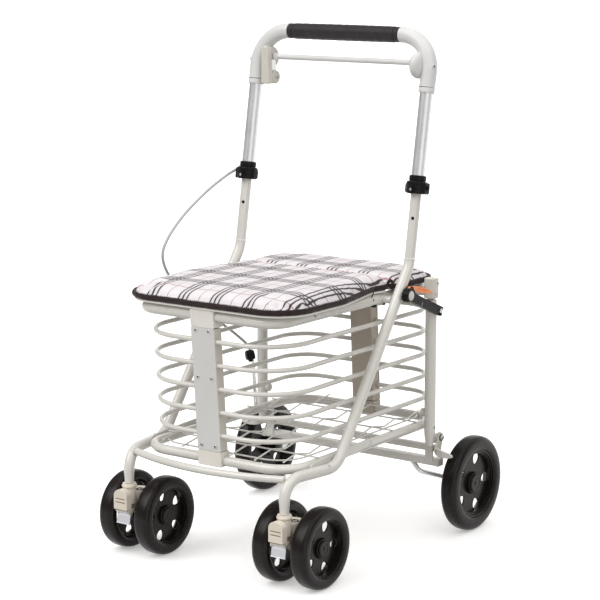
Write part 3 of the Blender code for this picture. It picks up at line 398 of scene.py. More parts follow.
def rounded(corners, radii, closed=False, step=4.0):
    """Straight runs between corner points, each corner rounded by an arc of the given radius."""
    corners = [Vector(c) for c in corners]
    count = len(corners)
    path = []
    for i, corner in enumerate(corners):
        if not closed and i in (0, count - 1):
            path.append(corner)
            continue
        radius = radii[i]
        before = (corners[i - 1] - corner).normalized()
        after = (corners[(i + 1) % count] - corner).normalized()
        opening = before.angle(after)
        if radius <= 0 or math.pi - opening < 0.02:
            path.append(corner)
            continue
        reach = radius / math.tan(opening / 2)
        centre = corner + (before + after).normalized() * (radius / math.sin(opening / 2))
        start = corner + before * reach - centre
        axis = start.cross(corner + after * reach - centre).normalized()
        turn = math.pi - opening
        steps = max(1, round(turn / math.radians(step)))
        for k in range(steps + 1):
            path.append(centre + Matrix.Rotation(turn * k / steps, 3, axis) @ start)
    return path


def tube(points, radius, sides=36, closed=False, edge=0.0005, oval=(1.0, 1.0), up=None):
    """A tube along a path with softly broken ends. oval scales the section across and along `up`."""
    pts = [Vector(p) for p in points]
    radii = list(radius) if hasattr(radius, "__len__") else [radius] * len(pts)
    if not closed and edge:
        a = (pts[1] - pts[0]).normalized() * edge
        b = (pts[-1] - pts[-2]).normalized() * edge
        pts = [pts[0], pts[0] + a * 0.3, pts[0] + a, *pts[1:-1], pts[-1] - b, pts[-1] - b * 0.3, pts[-1]]
        radii = [radii[0] - edge, radii[0] - edge * 0.3, radii[0], *radii[1:-1], radii[-1], radii[-1] - edge * 0.3, radii[-1] - edge]
    count = len(pts)
    tangents = []
    for i in range(count):
        if closed:
            t = pts[(i + 1) % count] - pts[i - 1]
        else:
            t = pts[min(i + 1, count - 1)] - pts[max(i - 1, 0)]
        tangents.append(t.normalized())
    start = Vector(up) if up else (Vector((0, 0, 1)) if abs(tangents[0].z) < 0.9 else Vector((1, 0, 0)))
    side = (start - tangents[0] * start.dot(tangents[0])).normalized()
    verts = []
    for i in range(count):
        if i:
            turn = tangents[i - 1].rotation_difference(tangents[i])
            side = turn @ side
        if up:
            side = (Vector(up) - tangents[i] * Vector(up).dot(tangents[i])).normalized()
        side = (side - tangents[i] * side.dot(tangents[i])).normalized()
        other = tangents[i].cross(side)
        for k in range(sides):
            a = 2 * math.pi * k / sides
            verts.append(pts[i] + side * (radii[i] * oval[0] * math.cos(a)) + other * (radii[i] * oval[1] * math.sin(a)))
    faces = []
    for i in range(count if closed else count - 1):
        j = (i + 1) % count
        for k in range(sides):
            m = (k + 1) % sides
            faces.append((i * sides + k, i * sides + m, j * sides + m, j * sides + k))
    if not closed:
        faces.append(tuple(range(sides)))
        faces.append(tuple((count - 1) * sides + k for k in range(sides)))
    return mesh_from(verts, faces)


def soft(points, reach=0.0008, steps=3, closed=False):
    """Rounds the corners of a flat run of (a, b) points."""
    pts = [Vector((p[0], p[1])) for p in points]
    sizes = [p[2] if len(p) > 2 else reach for p in points]
    out = []
    count = len(pts)
    for i, p in enumerate(pts):
        if (not closed and i in (0, count - 1)) or sizes[i] <= 0:
            out.append((p.x, p.y))
            continue
        a, b = pts[i - 1] - p, pts[(i + 1) % count] - p
        if a.length < 1e-7 or b.length < 1e-7:
            out.append((p.x, p.y))
            continue
        cut = min(sizes[i], a.length * 0.48, b.length * 0.48)
        start, end = p + a.normalized() * cut, p + b.normalized() * cut
        for k in range(steps + 1):
            t = k / steps
            q = start * (1 - t) ** 2 + p * (2 * t * (1 - t)) + end * t**2
            out.append((q.x, q.y))
    return out


def lathe(profile, steps, centre, axis=(1, 0, 0), closed=False):
    """A profile of (along, radius) turned about an axis through the centre."""
    centre, along = Vector(centre), Vector(axis).normalized()
    side = Vector((0, 0, 1)) if abs(along.z) < 0.7 else Vector((1, 0, 0))
    side = (side - along * side.dot(along)).normalized()
    other = along.cross(side)
    verts, rows = [], []
    for reach, radius in profile:
        here = centre + along * reach
        if radius < 1e-7:
            rows.append([len(verts)])
            verts.append(here)
            continue
        rows.append(list(range(len(verts), len(verts) + steps)))
        for k in range(steps):
            a = 2 * math.pi * (k + 0.5) / steps
            verts.append(here + side * (radius * math.cos(a)) + other * (radius * math.sin(a)))
    faces = []
    pairs = list(zip(rows, rows[1:])) + ([(rows[-1], rows[0])] if closed else [])
    for a, b in pairs:
        for k in range(steps):
            m = (k + 1) % steps
            if len(a) == 1 and len(b) == 1:
                continue
            if len(a) == 1:
                faces.append((a[0], b[m], b[k]))
            elif len(b) == 1:
                faces.append((a[k], a[m], b[0]))
            else:
                faces.append((a[k], a[m], b[m], b[k]))
    if not closed:
        for row in (rows[0], rows[-1]):
            if len(row) > 1:
                faces.append(tuple(row))
    return mesh_from(verts, faces)


def eased(mesh, width=0.0006, segments=2, angle=32.0):
    """The same shape with its sharp edges broken."""
    bm = bmesh.new()
    bm.from_mesh(mesh)
    bmesh.ops.remove_doubles(bm, verts=bm.verts, dist=2e-6)
    bm.normal_update()
    edges = [e for e in bm.edges if len(e.link_faces) == 2 and e.calc_face_angle(0.0) > math.radians(angle)]
    if edges:
        bmesh.ops.bevel(bm, geom=edges, offset=width, offset_type="OFFSET", segments=segments, profile=0.5, affect="EDGES", clamp_overlap=True)
    bmesh.ops.recalc_face_normals(bm, faces=bm.faces)
    out = bpy.data.meshes.new("eased")
    bm.to_mesh(out)
    bm.free()
    return out


def prism(outline, low, high, axis="Z", edge=0.0006, segments=2):
    """A flat outline extruded from low to high. The outline's pairs are (x, y), (y, z) for X or (x, z) for Y."""
    place = {"X": lambda a, b, c: (c, a, b), "Y": lambda a, b, c: (a, c, b), "Z": lambda a, b, c: (a, b, c)}[axis]
    outline = [(p[0], p[1]) for p in outline]
    count = len(outline)
    verts = [place(a, b, low) for a, b in outline] + [place(a, b, high) for a, b in outline]
    faces = [tuple(range(count)), tuple(range(count, 2 * count))]
    faces += [(k, (k + 1) % count, count + (k + 1) % count, count + k) for k in range(count)]
    mesh = mesh_from(verts, faces)
    return eased(mesh, edge, segments) if edge else mesh


def block(x0, x1, y0, y1, z0, z1, edge=0.0006, segments=2):
    x0, x1 = min(x0, x1), max(x0, x1)
    return prism([(x0, y0), (x1, y0), (x1, y1), (x0, y1)], z0, z1, edge=edge, segments=segments)


def lofted(rings):
    """Closed outlines with as many corners each, joined one to the next and filled at both ends."""
    count = len(rings[0])
    verts = [Vector(p) for ring in rings for p in ring]
    faces = [tuple(range(count)), tuple((len(rings) - 1) * count + k for k in range(count))]
    for i in range(len(rings) - 1):
        for k in range(count):
            m = (k + 1) % count
            faces.append((i * count + k, i * count + m, (i + 1) * count + m, (i + 1) * count + k))
    return mesh_from(verts, faces)


def capsule(a, ra, b, rb, steps=16):
    """The outline round two circles in a plane."""
    heading = math.atan2(b[1] - a[1], b[0] - a[0])
    lean = math.asin((ra - rb) / math.hypot(b[0] - a[0], b[1] - a[1]))
    out = []
    for k in range(steps + 1):
        t = heading - math.pi / 2 + lean + (math.pi - 2 * lean) * k / steps
        out.append((b[0] + rb * math.cos(t), b[1] + rb * math.sin(t)))
    for k in range(steps + 1):
        t = heading + math.pi / 2 - lean + (math.pi + 2 * lean) * k / steps
        out.append((a[0] + ra * math.cos(t), a[1] + ra * math.sin(t)))
    return out


def combined(mesh, others, operation="DIFFERENCE"):
    """One exact Boolean after another, applied."""
    base = bpy.data.objects.new("base", mesh)
    bpy.context.scene.collection.objects.link(base)
    tools = []
    for other in others:
        tool = bpy.data.objects.new("tool", other)
        bpy.context.scene.collection.objects.link(tool)
        mod = base.modifiers.new("cut", "BOOLEAN")
        mod.operation, mod.solver, mod.object = operation, "EXACT", tool
        tools.append(tool)
    bpy.context.view_layer.update()
    out = bpy.data.meshes.new_from_object(base.evaluated_get(bpy.context.evaluated_depsgraph_get()))
    for obj in (base, *tools):
        bpy.data.objects.remove(obj, do_unlink=True)
    return out


def moved(mesh, matrix):
    out = mesh.copy()
    out.transform(matrix)
    if matrix.determinant() < 0:
        out.flip_normals()
    return out


def smoothed(mesh, levels=1):
    """A subdivided copy."""
    base = bpy.data.objects.new("base", mesh)
    bpy.context.scene.collection.objects.link(base)
    mod = base.modifiers.new("subdivide", "SUBSURF")
    mod.levels = mod.render_levels = levels
    bpy.context.view_layer.update()
    out = bpy.data.meshes.new_from_object(base.evaluated_get(bpy.context.evaluated_depsgraph_get()))
    bpy.data.objects.remove(base, do_unlink=True)
    return out


def piece(name, parts, body, replaces=(), angle=35.0, weighted=True):
    """Joins (mesh, material) pairs into one object, sets it in the row frame and lets it ride on a body."""
    if isinstance(parts, tuple):
        parts = [parts]
    bm = bmesh.new()
    materials = []
    for mesh, mat in parts:
        if mat not in materials:
            materials.append(mat)
        start = len(bm.faces)
        bm.from_mesh(mesh)
        bm.faces.ensure_lookup_table()
        for face in bm.faces[start:]:
            face.material_index = materials.index(mat)
    mesh = bpy.data.meshes.new(name)
    bm.to_mesh(mesh)
    bm.free()
    for mat in materials:
        mesh.materials.append(mat)
    mesh.transform(Matrix.Translation((0, AXLE_Y, 0)))
    mesh.shade_smooth()
    mesh.set_sharp_from_angle(angle=math.radians(angle))
    obj = bpy.data.objects.new(name, mesh)
    bpy.context.scene.collection.objects.link(obj)
    if weighted:
        mod = obj.modifiers.new("weighted", "WEIGHTED_NORMAL")
        mod.keep_sharp = True
    if body:
        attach(obj, body)
    if replaces:
        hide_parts(*([replaces] if isinstance(replaces, str) else replaces))
    return obj


def finish_nodes(mat, *names):
    """Gives CAD nodes that stay their finish."""
    for name in names:
        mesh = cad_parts[name].data
        if not mesh.materials:
            mesh.materials.append(mat)
        for i in range(len(mesh.materials)):
            mesh.materials[i] = mat


def axes_of(direction):
    """Two directions square to one."""
    d = Vector(direction).normalized()
    side = Vector((0, 0, 1)) if abs(d.z) < 0.9 else Vector((0, 1, 0))
    side = (side - d * side.dot(d)).normalized()
    return d, side, d.cross(side)


def screw(place, direction, radius=0.0030, cross=True, turn=0.3, washer=False):
    """A pan-head screw with a cross recess, as (head, recess) meshes; the recess is a dark cross laid on the head,
    painted shade.
    """
    place = Vector(place)
    d, u, v = axes_of(direction)
    height = radius * 0.52
    profile = [(-0.0006, radius * 0.96), (height * 0.35, radius), (height * 0.78, radius * 0.80), (height, radius * 0.45), (height * 1.03, 0)]
    parts = [(lathe([(-0.0006, 0), *profile], 28, place, d), CHROME)]
    if washer:
        parts.append((lathe([(-0.0004, 0), (-0.0004, radius * 1.5), (0.0004, radius * 1.5), (0.0004, 0)], 32, place, d), CHROME))
    # the cross recess is a dark slab on the head: painted shade
    if cross:
        for a in (turn, turn + math.pi / 2):
            w = u * math.cos(a) + v * math.sin(a)
            t = d.cross(w)
            half, thick = radius * 0.66, radius * 0.17
            top, low = place + d * (height * 1.12), place + d * (height * 0.55)
            ring = [[c - w * half - t * thick, c + w * half - t * thick, c + w * half + t * thick, c - w * half + t * thick] for c in (low, top)]
            parts.append((lofted(ring), PAINTED_RECESS_SHADE))
    return parts


def rivet(place, direction, radius=0.0038):
    place = Vector(place)
    return [(lathe([(-0.0006, 0), (-0.0006, radius), (0.0002, radius), (0.0010, radius * 0.86), (0.0017, radius * 0.5), (0.0019, 0)], 28, place, direction), CHROME)]


# ================================================================ dimensions shared with the CAD
COLUMN_X, COLUMN_RAKE, COLUMN_Y0, COLUMN_Z0 = 0.1925, 0.170, -0.1249, 0.662
SEAM_Z, LOWER_TUBE_R, LOWER_TUBE_TOP_Z = 0.536, 0.0096, 0.775
UPPER_TUBE_R, UPPER_TUBE_BORE, UPPER_TUBE_Z = 0.0120, 0.0105, (0.655, 0.857)
HEIGHT_HOLE_Z, COLLAR_Z = 0.609, 0.663
HANDLE_Z, HANDLE_Y, HANDLE_BEND = 0.934, -0.0760, 0.066
SLEEVE_BOTTOM_Z, SLEEVE_R, GRIP_HALF, GRIP_R = 0.832, 0.0146, 0.1245, 0.0148
BAR_Y, BAR_Z, BAR_R = -0.0873, 0.8851, 0.0050
BAR_PIVOT = (-0.0850, 0.8460)
TUBE_R = 0.0098
ELBOW_Y, ELBOW_Z = -0.1490, 0.5225
FOOT_X, FOOT_Y, FOOT_Z = 0.1950, -0.3818, 0.1900
RUN_Z = FOOT_Z + 0.0070
STEM_X, STEM_Y, STEM_Z = 0.1737, -0.5078, 0.1380
SEAT_Z, SEAT_HALF, SEAT_FRONT_R, SEAT_REAR_R = 0.4640, 0.1530, 0.0390, 0.0500
FLOOR_Z, FLOOR_HALF, FLOOR_FRONT_R, FLOOR_REAR_R, FLOOR_R = 0.2030, 0.1640, 0.0560, 0.0600, 0.0095
SEAT_FRONT_Y, SEAT_REAR_Y, FLOOR_FRONT_Y, FLOOR_REAR_Y = -0.5000, -0.0130, -0.4802, 0.0030
FLOOR_TUBE_R = 0.0087
RING_Z = [0.4215 - 0.0425 * i for i in range(5)]
RING_HALF, RING_FRONT_R, RING_REAR_R, RING_R, RING_SETBACK = 0.1600, 0.0920, 0.0600, 0.0042, 0.0064
PANEL_TOP_Z, PLATE_TOP_Z, PLATE_BOTTOM_Z, PANEL_BOTTOM_Z = 0.4758, 0.4440, 0.2200, 0.1925
PLATE_HALF, CHANNEL_HALF, PLATE_T = 0.0255, 0.0240, 0.0020
BOARD_Z = (0.4763, 0.4799)
PAD_Z = (0.4803, 0.4885, 0.5030)
POST_X, POST_Y, POST_R = 0.1949, -0.0746, 0.0105
POST_TOP_Z, POST_BOTTOM_Z, POST_PIN_Z = 0.4765, 0.1720, 0.4650
REAR_WHEEL_X, REAR_WHEEL_R, REAR_WHEEL_W = 0.2423, 0.0905, 0.0300
BRAKE_PIVOT = (-0.0540, 0.1850)
LEVER_X, LEVER_PIVOT, LEVER_DIR, LEVER_REACH, STUD_REACH = (0.2095, 0.2215), (-0.1832, 0.4750), (0.9238, -0.3827), 0.1205, 0.1130
TAB_PIVOT = (-0.1775, 0.4862)
CASTER_TRAIL, FRONT_WHEEL_R, FRONT_WHEEL_W, FRONT_WHEEL_OUT = 0.0491, 0.0725, 0.0310, 0.0407
LOCK_PIVOT = (-0.5215, 0.0835)


def column_y(z):
    return COLUMN_Y0 + COLUMN_RAKE * (z - COLUMN_Z0)


COLUMN_UP = Vector((0, COLUMN_RAKE, 1)).normalized()


def front_face(z):
    return -0.5106 + 0.0758 * (0.4387 - z)


def rear_face(z):
    return 0.0010 + 0.0600 * (0.4387 - z)


def sag(y):
    """How far the wires drop towards the front panel."""
    t = max(0.0, min(1.0, (-y - 0.33) / 0.18))
    return 0.0016 * t * t * (3 - 2 * t)


def loop(z, half, front, rear, front_r, rear_r, step=4.0):
    return rounded(
        [(-half, front, z), (half, front, z), (half, rear, z), (-half, rear, z)], [front_r, front_r, rear_r, rear_r], closed=True, step=step
    )


def dense(points, spacing=0.012):
    """The same run with long straight stretches divided, so that it can bend or taper."""
    out = [Vector(points[0])]
    for p in points[1:]:
        p = Vector(p)
        count = max(1, math.ceil((p - out[-1]).length / spacing))
        start = out[-1]
        out += [start.lerp(p, k / count) for k in range(1, count + 1)]
    return out


# ================================================================ brake cable
def smooth_route(knots, spacing):
    """A Catmull-Rom curve through the knots, sampled at an even spacing."""
    knots = [Vector(k) for k in knots]
    padded = [knots[0] * 2 - knots[1], *knots, knots[-1] * 2 - knots[-2]]
    fine = []
    for i in range(1, len(padded) - 2):
        p0, p1, p2, p3 = padded[i - 1 : i + 3]
        for k in range(20):
            t = k / 20
            fine.append(0.5 * ((2 * p1) + (p2 - p0) * t + (2 * p0 - 5 * p1 + 4 * p2 - p3) * t * t + (3 * p1 - p0 - 3 * p2 + p3) * t**3))
    fine.append(knots[-1])
    total = sum((b - a).length for a, b in zip(fine, fine[1:]))
    count = round(total / spacing)
    out, walked, target = [fine[0]], 0.0, total / count
    for a, b in zip(fine, fine[1:]):
        step = (b - a).length
        while walked + step >= target * len(out) and len(out) < count:
            out.append(a.lerp(b, (target * len(out) - walked) / step))
        walked += step
    out.append(fine[-1])
    return out


CABLE_ROUTE = [
    (-0.2015, -0.0843, 0.8280),
    (-0.2015, -0.0892, 0.8000),
    (-0.2015, -0.0943, 0.7700),
    (-0.2015, -0.0996, 0.7390),
    (-0.2040, -0.1010, 0.7150),
    (-0.2085, -0.1018, 0.6960),
    (-0.2150, -0.1060, 0.6800),
    (-0.2215, -0.1180, 0.6690),
    (-0.2245, -0.1500, 0.6580),
    (-0.2270, -0.2100, 0.6320),
    (-0.2320, -0.2750, 0.5920),
    (-0.2365, -0.3180, 0.5500),
    (-0.2420, -0.3220, 0.5150),
    (-0.2450, -0.2900, 0.4700),
    (-0.2400, -0.2300, 0.4200),
    (-0.2280, -0.1620, 0.3700),
    (-0.2190, -0.1230, 0.3400),
    (-0.2152, -0.0980, 0.3190),
    (-0.2140, -0.0885, 0.3053),
]
route = smooth_route(CABLE_ROUTE, 0.0040)


def nearest(point):
    point = Vector(point)
    return min(range(len(route)), key=lambda i: (route[i] - point).length)


at_collar, at_loop = nearest(CABLE_ROUTE[7]), nearest(CABLE_ROUTE[12])
# the run beside the column rides on the handle; the hanging run bends down to the frame, then to the legs
cable_top = piece("brake_cable_upper", (tube(route[: at_collar + 1], 0.0027, 20), CABLE), "handle")
cable_mid = piece("brake_cable_middle", (tube(route[at_collar : at_loop + 1], 0.0027, 20), CABLE), None, weighted=False)
cable_low = piece("brake_cable_lower", (tube(route[at_loop:], 0.0027, 20), CABLE), None, weighted=False)
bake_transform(cable_mid)
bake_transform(cable_low)
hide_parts("brake_cable")
# a ferrule where the cable leaves the housing
start_dir = (route[3] - route[0]).normalized()
piece(
    "cable_ferrule",
    (lathe(soft([(-0.0030, 0), (-0.0030, 0.0034), (0.0060, 0.0034), (0.0130, 0.0032), (0.0130, 0.0028), (0.0110, 0.0028), (0.0110, 0)], 0.0003), 28, route[0], start_dir), BLACK),
    "handle",
)


# ================================================================ frame tubes
for hand, s in SIDES:
    path = rounded(
        [
            (s * COLUMN_X, column_y(SEAM_Z), SEAM_Z),
            (s * COLUMN_X, ELBOW_Y, ELBOW_Z),
            (s * FOOT_X, FOOT_Y, RUN_Z),
            (s * STEM_X, STEM_Y, RUN_Z),
            (s * STEM_X, STEM_Y, STEM_Z),
        ],
        [0, 0.048, 0.045, 0.036, 0],
    )
    path = dense(path)
    radii = []
    for p in path:
        drop = max(0.0, min(1.0, (0.158 - p.z) / 0.014)) if p.y < -0.49 else 0.0
        radii.append(TUBE_R - 0.0016 * drop * drop * (3 - 2 * drop))
    shape = tube(path, radii, 40)
    low_rim = Vector((s * COLUMN_X, column_y(SEAM_Z), SEAM_Z))
    parts = [
        (shape, IVORY),
        (lathe(soft([(-0.0042, 0.0097), (-0.0040, 0.0101), (-0.0010, 0.0101), (-0.0006, 0.0097)], 0.0003), 40, low_rim, COLUMN_UP), IVORY),
        (tube([(s * STEM_X, STEM_Y, STEM_Z + 0.004), (s * STEM_X, STEM_Y, 0.1030)], 0.0050, 24), ZINC),
    ]
    # rivet on the upper outer side, just ahead of the foot
    away = Vector((s * 0.72, 0.12, 0.68)).normalized()
    parts += rivet(Vector((s * 0.1906, -0.4080, RUN_Z)) + away * 0.0096, away, 0.0034)
    piece(f"side_tube_{hand}_fine", parts, "frame", f"side_tube_{hand}")

    hole = Vector((s * COLUMN_X, column_y(HEIGHT_HOLE_Z), HEIGHT_HOLE_Z))
    body_tube = tube(
        [(s * COLUMN_X, column_y(SEAM_Z + 0.0005), SEAM_Z + 0.0005), (s * COLUMN_X, column_y(LOWER_TUBE_TOP_Z), LOWER_TUBE_TOP_Z)], LOWER_TUBE_R, 40
    )
    look = Vector((0.35, -1.0, 0)).normalized()
    body_tube = combined(body_tube, [tube([hole + look * 0.0050, hole + look * 0.0130], 0.0031, 24, edge=0)])
    button = lathe(soft([(0.0046, 0), (0.0046, 0.0030), (0.0074, 0.0030), (0.0086, 0.0022), (0.0088, 0)], 0.0004), 24, hole, look)
    piece(f"column_tube_{hand}_fine", [(body_tube, IVORY), (button, BLACK)], "frame", f"column_tube_{hand}", angle=45)

bow = [(0.1612 * t / 30, -0.5240 + 0.0265 * (t / 30) ** 2, 0.1930 + 0.0018 * (t / 30) ** 2) for t in range(-31, 32)]
parts = [(tube(bow, 0.0065, 28), IVORY)]
for s in (-1, 1):
    # a weld bead where the bar runs into the side tube
    bead, normal = [], Vector((s, 0.30, 0)).normalized()
    side = Vector((-normal.y, normal.x, 0))
    for k in range(28):
        a = 2 * math.pi * k / 28
        ripple = 0.0068 + 0.0003 * math.sin(9 * a)
        bead.append(Vector((s * 0.1648, -0.4970, 0.1948)) + side * (ripple * math.cos(a)) + Vector((0, 0, ripple * math.sin(a))) + normal * (0.0022 * math.sin(a) ** 2))
    parts.append((tube(bead, 0.0014, 10, closed=True), IVORY))
piece("front_crossbar_fine", parts, "frame", "front_crossbar")

for hand, s in SIDES:
    start, end = Vector((s * 0.1782, -0.4380, 0.2000)), Vector((s * 0.1768, -0.2430, 0.2125))
    d = (end - start).normalized()
    over = Vector((0, 0, 1)) - d * d.z
    over.normalize()
    across = d.cross(over).normalized()
    length = (end - start).length
    # a flat plate, deep where it is welded to the side tube and rounded at its rear end
    outline = [(0.0, -0.0060), (length * 0.5, -0.0078)]
    for k in range(13):
        t = -math.pi / 2 + math.pi * k / 12
        outline.append((length - 0.0045 + 0.0068 * math.cos(t), 0.0068 * math.sin(t)))
    outline += soft([(length - 0.020, 0.0074), (0.0500, 0.0110, 0.012), (0.0080, 0.0105, 0.004), (0.0, 0.0070)], 0, 6)[1:]
    rings = [[start + d * a + over * b + across * w for a, b in outline] for w in (-0.00125, 0.00125)]
    parts = [(eased(lofted(rings), 0.0004), IVORY)]
    facing = across * (1 if across.x * s > 0 else -1)
    parts += rivet(start.lerp(end, 0.955) + facing * 0.0012, facing, 0.0042)
    parts += rivet(start.lerp(end, 0.34) + over * 0.0020 + facing * 0.0012, facing, 0.0036)
    piece(f"gusset_{hand}_fine", parts, "frame", f"gusset_{hand}")

# ================================================================ basket
seat_loop = loop(SEAT_Z, SEAT_HALF, SEAT_FRONT_Y, SEAT_REAR_Y, SEAT_FRONT_R, SEAT_REAR_R)
parts = [(tube(seat_loop, TUBE_R, 36, closed=True), IVORY)]
for s in (-1, 1):
    parts.append((tube([(s * (SEAT_HALF + 0.003), -0.1905, SEAT_Z), (s * 0.1825, -0.1905, SEAT_Z)], 0.0065, 24), IVORY))
    parts.append((lathe(soft([(0.0, 0.0064), (0.0, 0.0082), (0.0016, 0.0076), (0.0026, 0.0066)], 0.0005), 28, (s * (SEAT_HALF + TUBE_R - 0.0006), -0.1905, SEAT_Z), (s, 0, 0)), IVORY))
    # hinge clip below the side rail: a strap between two small feet
    for y in (-0.2035, -0.1745):
        parts.append((block(s * 0.1485, s * 0.1575, y - 0.0035, y + 0.0035, 0.4500, 0.4562, 0.0008), BLACK))
    parts.append((block(s * 0.1500, s * 0.1560, -0.2005, -0.1775, 0.4512, 0.4560, 0.0008), BEIGE))
    parts += screw((s * (SEAT_HALF + TUBE_R - 0.0003), -0.4030, SEAT_Z + 0.0010), (s, 0, 0.1), 0.0030)
    parts += screw((s * (SEAT_HALF + TUBE_R - 0.0006), -0.2200, SEAT_Z + 0.0022), (s, 0, 0.25), 0.0028)
piece("seat_frame_fine", parts, "frame", "seat_frame")

floor_loop = loop(FLOOR_Z, FLOOR_HALF, FLOOR_FRONT_Y, FLOOR_REAR_Y, FLOOR_FRONT_R, FLOOR_REAR_R)
piece("floor_frame_fine", (tube(floor_loop, FLOOR_TUBE_R, 36, closed=True), IVORY), "frame", "floor_frame")

for number, z in enumerate(RING_Z, 1):
    ring = dense([*loop(z, RING_HALF, front_face(z) + RING_SETBACK, rear_face(z) - RING_SETBACK, RING_FRONT_R, RING_REAR_R, 3.0)], 0.015)
    ring = [Vector((p.x, p.y, p.z - sag(p.y))) for p in ring]
    piece(f"basket_ring_{number}_fine", (tube(ring, RING_R, 24, closed=True), IVORY), "frame", f"basket_ring_{number}")

# floor wires: the long ones slant from one cross wire to the next and step back at each of them
WIRE_R = 0.0015
low_z, high_z = FLOOR_Z + FLOOR_TUBE_R + 0.0003 + WIRE_R, FLOOR_Z + FLOOR_TUBE_R + 0.0003 + 2.6 * WIRE_R
parts = []
cross_y = (-0.400, -0.320, -0.240, -0.160, -0.080)
for y in cross_y:
    parts.append((tube(dense([(-0.1685, y, low_z), (0.1685, y, low_z)], 0.03), WIRE_R, 12, edge=0.0003), IVORY))
for x in (-0.135, -0.081, -0.027, 0.027, 0.081, 0.135):
    front, back = -0.4850 + 0.0175 * (abs(x) > 0.1), 0.0080 - 0.012 * (abs(x) > 0.1)
    knots, bends = [(x - 0.0090, back, high_z)], [0]
    for y in reversed(cross_y):
        knots += [(x + 0.0090, y + 0.0070, high_z), (x - 0.0090, y - 0.0070, high_z)]
        bends += [0.0050, 0.0050]
    knots.append((x - 0.0090 + 0.0180 * (-0.4070 - front) / 0.066, front, high_z))
    bends.append(0)
    parts.append((tube(rounded(knots, bends, step=12.0), WIRE_R, 12, edge=0.0003), IVORY))
inner_loop = loop(low_z, FLOOR_HALF - 0.0170, FLOOR_FRONT_Y + 0.0170, FLOOR_REAR_Y - 0.0170, 0.055, 0.045, 5.0)
parts.append((tube(inner_loop, WIRE_R, 12, closed=True), IVORY))
piece("floor_wires", parts, "frame", "floor_grid")


def leaning(x0, x1, d0, d1, z0, z1, face, inward, edge=0.0006, round_corner=0.0):
    """A box whose front and back follow a leaning panel face, between two depths behind it."""
    flat = soft([(x0, z0, round_corner), (x1, z0, round_corner), (x1, z1, round_corner), (x0, z1, round_corner)], 0, 5, closed=True)
    rings = [[(x, face(z) + inward * d, z) for x, z in flat] for d in (d0, d1)]
    mesh = lofted(rings)
    return eased(mesh, edge) if edge else mesh


# the rear panel's channel and caps take the darker beige: painted shade
for where, face, inward, seat_y, floor_y, tone, cap_tone in (
    ("front", front_face, 1, SEAT_FRONT_Y, FLOOR_FRONT_Y, BEIGE, CAP_BEIGE),
    ("rear", rear_face, -1, SEAT_REAR_Y, FLOOR_REAR_Y, REAR_BEIGE_PAINTED_SHADE, REAR_BEIGE_PAINTED_SHADE),
):
    slope = (face(0.3) - face(0.4)) / 0.1
    out = Vector((0, -inward, -inward * slope)).normalized()
    plate_parts = [(leaning(-PLATE_HALF, PLATE_HALF, 0, PLATE_T, PLATE_BOTTOM_Z, PLATE_TOP_Z, face, inward, 0.0008, 0.0022), PANEL_GREY)]
    for half, z in ((0.0141, 0.4384), (0.0151, 0.3538), (0.0152, 0.2300)):
        for s in (-1, 1):
            plate_parts += screw((s * half, face(z) - inward * 0.0002, z), out, 0.0033, turn=0.3 + s * 0.5 + z)
    piece(f"{where}_panel_plate_fine", plate_parts, "frame", f"{where}_panel_plate")

    channel = leaning(-CHANNEL_HALF, CHANNEL_HALF, PLATE_T + 0.0003, 0.0225, PLATE_BOTTOM_Z + 0.0010, PLATE_TOP_Z - 0.0010, face, inward, 0)
    hollow = leaning(-CHANNEL_HALF + 0.002, CHANNEL_HALF - 0.002, -0.001, 0.0205, PLATE_BOTTOM_Z + 0.0020, PLATE_TOP_Z - 0.0020, face, inward, 0)
    slots = []
    for z in RING_Z:
        spot = face(z) + inward * RING_SETBACK
        drop = sag(spot)
        slots.append(tube([(-0.03, spot, z - drop), (0.03, spot, z - drop)], RING_R + 0.0004, 20, edge=0))
    channel = combined(channel, [hollow, *slots])
    channel = eased(channel, 0.0004, 1, 50)
    low_cap = leaning(-PLATE_HALF, PLATE_HALF, 0, 0.0255, PANEL_BOTTOM_Z, PLATE_BOTTOM_Z - 0.0003, face, inward, 0, 0.0030)
    top_cap = leaning(-PLATE_HALF, PLATE_HALF, 0, 0.0255, PLATE_TOP_Z + 0.0003, PANEL_TOP_Z, face, inward, 0, 0.0030)
    low_cap = eased(combined(low_cap, [tube([(-0.04, floor_y, FLOOR_Z), (0.04, floor_y, FLOOR_Z)], FLOOR_TUBE_R + 0.0003, 40, edge=0)]), 0.0008, 2, 40)
    top_cap = eased(combined(top_cap, [tube([(-0.04, seat_y, SEAT_Z), (0.04, seat_y, SEAT_Z)], TUBE_R + 0.0003, 40, edge=0)]), 0.0008, 2, 40)
    parts = [(channel, tone), (low_cap, cap_tone), (top_cap, cap_tone)]
    # a small moulded collar round each wire where it enters the channel's side
    for z in RING_Z:
        spot = face(z) + inward * RING_SETBACK
        for s in (-1, 1):
            parts.append((lathe(soft([(0.0, RING_R + 0.0003), (0.0, 0.0068), (0.0018, 0.0064), (0.0024, 0.0056), (0.0024, RING_R + 0.0003)], 0.0004, closed=True), 28, (s * (CHANNEL_HALF - 0.0001), spot, z - sag(spot)), (s, 0, 0), closed=True), tone))
    piece(f"{where}_panel_channel_fine", parts, "frame", f"{where}_panel_channel")


